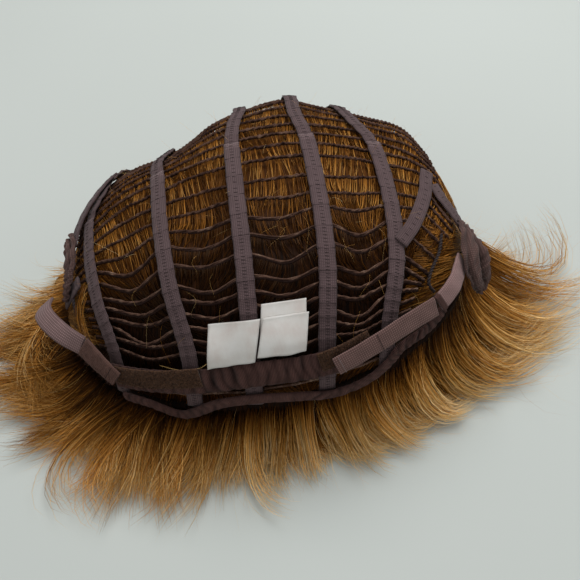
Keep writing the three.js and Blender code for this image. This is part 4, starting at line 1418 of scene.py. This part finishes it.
bands = {
    "nape_band": {
        "rows": [(15.9, -43), (16.6, -31), (17.4, -20), (19.2, -4), (18.6, 6), (18.8, 20)],
        "lift": 0.9,
        "width": 12 * mm,
        "thick": 1 * mm,
        "gathers": 26,
        "depth": 1.3 * mm,
        "steps": 300,
    },
    "rim_tape": {
        "rows": [(3.6, -41), (3.2, -33), (0.2, -23), (6.4, -13), (7.4, -4), (5, 5), (1.8, 13.6),
                 (2.8, 23), (7.5, 28.2), (12.6, 31.4), (14.2, 35.4), (15, 39.4), (18, 43.6), (22, 46.6)],
        "lift": 0.9,
        "width": 5.6 * mm,
        "thick": 1.2 * mm,
        "gathers": 40,
        "depth": 0.7 * mm,
        "steps": 300,
    },
    "front_band": {
        "rows": [(173.5, -56), (173.5, -20), (173.5, 20), (173.5, 56)],
        "lift": 1.4,
        "width": 9 * mm,
        "thick": 1.2 * mm,
        "gathers": 30,
        "depth": 0.3 * mm,
        "steps": 120,
    },
}


# uneven ruffles: soft ridges with narrow creases between them
def gatheredRise(count, depth, rng):
    phase = rng.uniform(0, 2 * np.pi, 6)

    def rise(u, v):
        wander = u + 0.02 * np.sin(9 * u + phase[0]) + 0.008 * v * np.sin(23 * u + phase[1])
        first = np.abs(np.sin(np.pi * count * wander + phase[2] + 0.4 * v + 0.5 * np.sin(3 * v + 17 * u)))
        second = np.abs(np.sin(np.pi * count * 0.57 * wander + phase[3] - 0.7 * v))
        uneven = 0.65 + 0.35 * np.sin(13 * u + phase[4]) * np.sin(7 * u + phase[5])
        held = 1 - 0.4 * np.abs(v) ** 3
        return depth * (1 - uneven * (0.7 * (1 - first) + 0.6 * (1 - second) ** 1.5)) * held

    return rise


def addBand(name, band, rng):
    rise = gatheredRise(band["gathers"], band["depth"], rng)

    # painted shade: darker in the creases and lighter on the ridges
    def shadeAt(u, v):
        return np.clip(0.2 + 1.12 * rise(u, v) / band["depth"], 0.2, 1.3)

    line = tapeLine(smoothRoute(atLift(band["rows"], band["lift"]), band["steps"]))
    shape = tapeShape(line, band["width"], band["thick"], rise, 11, shadeAt)
    addPiece(pieceName(name), shape, "band", [name])


bandRng = np.random.default_rng(51)
for name, band in bands.items():
    addBand(name, band, bandRng)
print("bands made:", len(bands))


# Felt pads

pads = {  # over and across
    "felt_pad_left": [(17.6, -41.4), (18.6, -30), (20.5, -17.5)],
    "felt_pad_right": [(20.5, 9.4), (22, 15), (25, 22)],
}
padLook = {
    "lift": 2.9,  # in mm
    "width": 9 * mm,
    "thick": 1.1 * mm,
    "uneven": 0.12 * mm,
    "steps": 60,
    "fibres": 1000,
}
fuzz = {
    "length": 1.5 * mm,
    "radius": 0.06 * mm,
    "rooted": 0.1,  # share of the tape's thickness
    "stand": 0.35,
    "arch": 0.25,
    "ring": (0, 0.5, 1),
    "ringRadius": (1, 0.8, 0.3),
    "size": (0.5, 1.3),
    "shade": (0.6, 1.7),
}


# short fibres that lie every way on a tape
def addFuzz(name, tape, count, finish, rng):
    u, v = rng.uniform(0.01, 0.99, count), rng.uniform(-0.97, 0.97, count)
    place, side, up = onTape(tape, u, v)
    root = place - up * tape[2] * fuzz["rooted"]
    lean = unit(rng.normal(0, 1, (count, 3)) + fuzz["stand"] * up)
    lean = lean - np.minimum((lean * up).sum(1), 0)[:, None] * up
    t = np.array(fuzz["ring"])[None, :, None]
    length = fuzz["length"] * rng.uniform(*fuzz["size"], count)[:, None, None]
    points = root[:, None] + length * (lean[:, None] * t + fuzz["arch"] * up[:, None] * np.sin(np.pi * t))
    radii = np.broadcast_to(fuzz["radius"] * np.array(fuzz["ringRadius"]), points.shape[:2])
    pole = np.broadcast_to(side[:, None], points.shape)
    shade = rng.uniform(*fuzz["shade"], (count, 1))
    addPiece(name, tubes(points, radii, 3, pole, 0.5, shade), finish)


def padRise(u, v):
    return padLook["uneven"] * np.sin(33 * u + 5 * v) * np.sin(19 * u - 7 * v)


def addPad(name, rows, rng):
    line = tapeLine(smoothRoute(atLift(rows, padLook["lift"]), padLook["steps"]))
    tape = (line, padLook["width"], padLook["thick"], padRise)
    addPiece(pieceName(name), tapeShape(*tape, 13), "felt", [name])
    addFuzz(pieceName(name) + "-fibres", tape, padLook["fibres"], "felt", rng)


padRng = np.random.default_rng(61)
for name, rows in pads.items():
    addPad(name, rows, padRng)
print("felt pads made:", len(pads))


# Ear tabs

earTabs = {
    "ear_tab_right": {
        "rows": [(72, 63.6, 0.9), (52, 59.4, 5.6), (34, 61, 6.2), (18, 66, 5.6), (5, 67, 5)],
        "widths": (10, 15, 15.5, 11, 5),
        "roll": (2, 16, 0.35),
    },
    "ear_tab_left": {
        "rows": [(104, -62, 3), (94, -61, 3), (82, -62, 2.2), (72, -64, 1.6), (62, -66, 1.2)],
        "widths": (7, 10, 9, 6, 3),
        "roll": (0, 0, 1),
    },
}
tabLook = {"thick": 1.2 * mm, "foldDepth": 2.2 * mm, "steps": 100, "columns": 31}


# two soft lobes along the tab with a deep fold between them, and small creases
def tabRise(u, v):
    fold = 0.1 + 0.2 * np.sin(4.2 * u + 0.6)
    deep = np.exp(-(((v - fold) / 0.16) ** 2))
    second = np.exp(-(((v + 0.62 - 0.25 * np.sin(3.1 * u + 2)) / 0.12) ** 2))
    creases = 0.2 * np.sin(27 * u + 6 * v + 2 * np.sin(7 * u)) * np.sin(13 * u - 5 * v + 1)
    creases = creases + 0.1 * np.sin(67 * u + 9 * v + 3 * np.sin(11 * u))
    return tabLook["foldDepth"] * (0.3 - 0.9 * deep - 0.45 * second - 0.4 * np.abs(v) ** 3 + creases)


# painted shade: darker in the fold and creases, lighter on the lobes
def tabShade(u, v):
    return np.clip(0.78 + 0.8 * tabRise(u, v) / tabLook["foldDepth"], 0.25, 1.15)


def addEarTab(name, tab):
    line = tapeLine(smoothRoute(tab["rows"], tabLook["steps"]), tab["roll"])
    u = np.linspace(0, 1, tabLook["steps"])
    widths = np.interp(u, np.linspace(0, 1, len(tab["widths"])), tab["widths"]) * mm
    widths = widths * (1 + 0.05 * np.sin(19 * u) + 0.03 * np.sin(41 * u + 1))
    shape = tapeShape(line, widths, tabLook["thick"], tabRise, tabLook["columns"], tabShade)
    addPiece(pieceName(name), shape, "tabCloth", [name])


for name, tab in earTabs.items():
    addEarTab(name, tab)
print("ear tabs made:", len(earTabs))


# Size adjusters

adjusters = {  # seams are places along the tape and their thread
    "adjuster_right_elastic": {
        "finish": "smoothElastic",
        "rows": [(29.8, 42, 4.6), (36, 48, 4.6), (41, 52.6, 2.4), (45.6, 56.6, 0.8)],
        "roll": (0, 0, 1),
        "seams": [],
    },
    "adjuster_right_tab": {
        "finish": "velvet",
        "rows": [(18.6, 13, 4.9), (23.6, 23.5, 4.7), (27.4, 32, 4.6), (29.6, 40.6, 4.6)],
        "roll": (0, 0, 1),
        "seams": [(0.4, "darkThread"), (0.05, "paleThread")],
    },
    "adjuster_left_elastic": {
        "finish": "elastic",
        "rows": [(32, -51.8, 5.5), (40, -58, 10), (50, -64, 12), (60, -70.5, 8)],
        "roll": (15, 40, 0.4),
        "seams": [],
    },
    "adjuster_left_tab": {
        "finish": "wornVelvet",
        "rows": [(17, -40.4, 4.8), (21.5, -44, 4.8), (31.6, -51.4, 5.4)],
        "roll": (4, 15, 1),
        "seams": [(0.2, "darkThread")],
    },
}
adjusterLook = {
    "width": 8.6 * mm,
    "thick": 1.6 * mm,
    "wobble": 0.06 * mm,
    "edgeDrop": 0.1 * mm,
    "steps": 60,
    "threadRadius": 0.16 * mm,
    "stitches": 9,
    "stitchStand": 0.12 * mm,
    "fuzz": 500,
}
elasticFold = {  # the turned-over end of the right elastic, a dark fold across it
    "place": 0.03,
    "reach": 1.06,  # half widths
    "steps": 24,
    "drop": 1.2 * mm,
    "dropFrom": 0.85,
    "width": 2.6 * mm,
    "thick": 0.5 * mm,
}


def adjusterRise(u, v):
    return adjusterLook["wobble"] * np.sin(24 * u + 3 * v) - adjusterLook["edgeDrop"] * v**2


def addCrossSeam(name, tape, u, finish):
    count = adjusterLook["stitches"]
    v = np.linspace(-0.95, 0.95, count + 1)
    begin, end = [onTape(tape, np.full(count, u), part) for part in (v[:-1] + 0.02, v[1:])]
    seam = stitchShape(begin[0], end[0], begin[2], adjusterLook["threadRadius"], adjusterLook["stitchStand"])
    addPiece(name, seam, finish)


def addFold(tape):
    fold = elasticFold
    v = np.linspace(-fold["reach"], fold["reach"], fold["steps"])
    point, side, up = onTape(tape, np.full(len(v), fold["place"]), v)
    along = unit(np.cross(np.gradient(point, axis=0), up))
    drop = fold["drop"] * smooth(np.abs(v), fold["dropFrom"], fold["reach"])
    shape = tapeShape((point - up * drop[:, None], along, up), fold["width"], fold["thick"], columns=7)
    addPiece("adjuster-right-fold", shape, "band")


def addAdjuster(name, adjuster, rng):
    line = tapeLine(smoothRoute(adjuster["rows"], adjusterLook["steps"]), adjuster["roll"])
    tape = (line, adjusterLook["width"], adjusterLook["thick"], adjusterRise)
    addPiece(pieceName(name), tapeShape(*tape, 13, strapShade), adjuster["finish"], [name])
    for number, (u, finish) in enumerate(adjuster["seams"]):
        addCrossSeam(f"{pieceName(name)}-seam-{number + 1}", tape, u, finish)
    if name == "adjuster_right_elastic":
        addFold(tape)
    if name == "adjuster_left_tab":
        addFuzz(pieceName(name) + "-fuzz", tape, adjusterLook["fuzz"], "wornVelvet", rng)


for name, adjuster in adjusters.items():
    addAdjuster(name, adjuster, padRng)
print("adjusters made:", len(adjusters))


# Labels: bare satin tags, with their lower and upper edges as angles on the cap

labels = {
    "label_left": {
        "over": (25.2, 41.4),
        "left": (-15.6, -15.2),
        "right": (-4.6, -3.2),
        "low": 2.9,  # in mm, as the swell
        "hang": (-1.5, 0.5),  # degrees over, at the lower corners
        "swell": 0.8,
    },
    "label_right": {
        "over": (26.6, 41.4),
        "left": (-4.1, -2.7),
        "right": (6.4, 7.2),
        "low": 2.9,
        "hang": (0.1, -0.2),
        "swell": 0.6,
    },
    "label_back": {
        "over": (31, 46.6),
        "left": (-3.6, -3),
        "right": (6.6, 6.8),
        "low": 1.5,
        "hang": (0, 0),
        "swell": 0.1,
    },
}
labelLook = {
    "thick": 0.42 * mm,
    "steps": 24,
    "uneven": 0.28,  # degrees over
    "buckle": 0.25 * mm,
    "smallBuckle": 0.12 * mm,
    "lip": 0.25 * mm,
    "lipWidth": 0.05,  # shares of the label, as the next
    "rimWidth": 0.05,
}


def addLabel(name, label, seed):
    look = labelLook
    u = np.linspace(0, 1, look["steps"])[:, None]
    v = np.linspace(0, 1, look["steps"])[None]

    def between(key, share):
        return label[key][0] + (label[key][1] - label[key][0]) * share

    ripple = look["uneven"] * (np.sin(5.2 * v + seed) + 0.5 * np.sin(12 * v + 2 * seed))
    over = between("over", u) + (between("hang", v) + ripple) * (1 - u) ** 1.5
    across = between("left", u) + (between("right", u) - between("left", u)) * v
    buckle = look["buckle"] * np.sin(3.1 * u + 2.2 * v + seed)
    buckle = buckle + look["smallBuckle"] * np.sin(7 * v - 4 * u + seed)
    fold = 0.5 + 0.5 * np.sin(4.6 * v + 1.4 * u + 2.4 + seed) * np.cos(1.9 * u - 0.5)
    low = label["low"] * mm + buckle + label["swell"] * mm * fold * smooth(u, 0.0, 0.3)
    lip = look["lip"] * np.exp(-((1 - u) / look["lipWidth"]) ** 2)
    top = onCap(over, across, low + look["thick"] + lip)
    bottom = onCap(over, across, low)
    middle = look["steps"] // 2
    size = [lengthAlong(part)[-1] for part in (top[middle], top[:, middle])]
    cloth = np.stack(np.broadcast_arrays(u * size[1], v * size[0]), -1)
    rim = np.minimum(np.minimum(u, 1 - u), np.minimum(v, 1 - v))
    # painted shade: the satin darkens towards its lower edge; its rim is darker too
    shade = (0.86 + 0.14 * smooth(rim, 0.0, look["rimWidth"])) * (0.88 + 0.12 * smooth(u, 0.0, 0.8))
    shape = sheetSolid(top, bottom, cloth, 0.5, shade)
    piece = addPiece(pieceName(name), shape, "satin", [name])


for seed, (name, label) in enumerate(labels.items()):
    addLabel(name, label, seed * 1.7)
print("labels made:", len(labels))


# Floor and light

studio = {
    "sky": (0.82, 0.82, 0.81),
    "skyStrength": 0.38,
    "floor": (0.60, 0.64, 0.612),
    "floorDim": 0.95,
    "floorSize": 3.0,
    "panels": {  # place, size, watts
        "keyPanel": ((0.16, 0.42, 0.94), 0.7, 8.6),
        "fillPanel": ((-0.4, -0.75, 0.75), 0.8, 0.8),
    },
}


def addFloor():
    half = studio["floorSize"] / 2
    corners = [(-half, -half, 0), (half, -half, 0), (half, half, 0), (-half, half, 0)]
    mesh = bpy.data.meshes.new("floor")
    mesh.from_pydata(corners, [], [(0, 1, 2, 3)])
    made, tree, shader = newFinish("paleFloor", 0.75, 0.2)
    dim = tuple(part * studio["floorDim"] for part in studio["floor"])
    colour = ramp(tree, noise(tree, 2.5), [(0.35, dim), (0.65, studio["floor"])])
    plug(tree, colour, shader.inputs["Base Color"])
    mesh.materials.append(made)
    floor = bpy.data.objects.new("floor", mesh)
    scene.collection.objects.link(floor)


def addSky():
    world = bpy.data.worlds.new("sky")
    world.use_nodes = True
    sky = world.node_tree.nodes["Background"]
    sky.inputs["Color"].default_value = (*studio["sky"], 1)
    sky.inputs["Strength"].default_value = studio["skyStrength"]
    scene.world = world


# a soft panel of light that faces the wig
def addPanel(name, place, size, watts):
    data = bpy.data.lights.new(name, "AREA")
    data.size = size
    data.energy = watts
    panel = bpy.data.objects.new(name, data)
    panel.location = place
    x, y, z = np.array(camera["target"]) - np.array(place)
    panel.rotation_euler = (math.atan2(math.hypot(x, y), -z), 0, math.atan2(x, -y) + math.pi)
    scene.collection.objects.link(panel)


addFloor()
addSky()
for name, (place, size, watts) in studio["panels"].items():
    addPanel(name, place, size, watts)
scene.view_settings.view_transform = "Standard"
print("floor and light made")
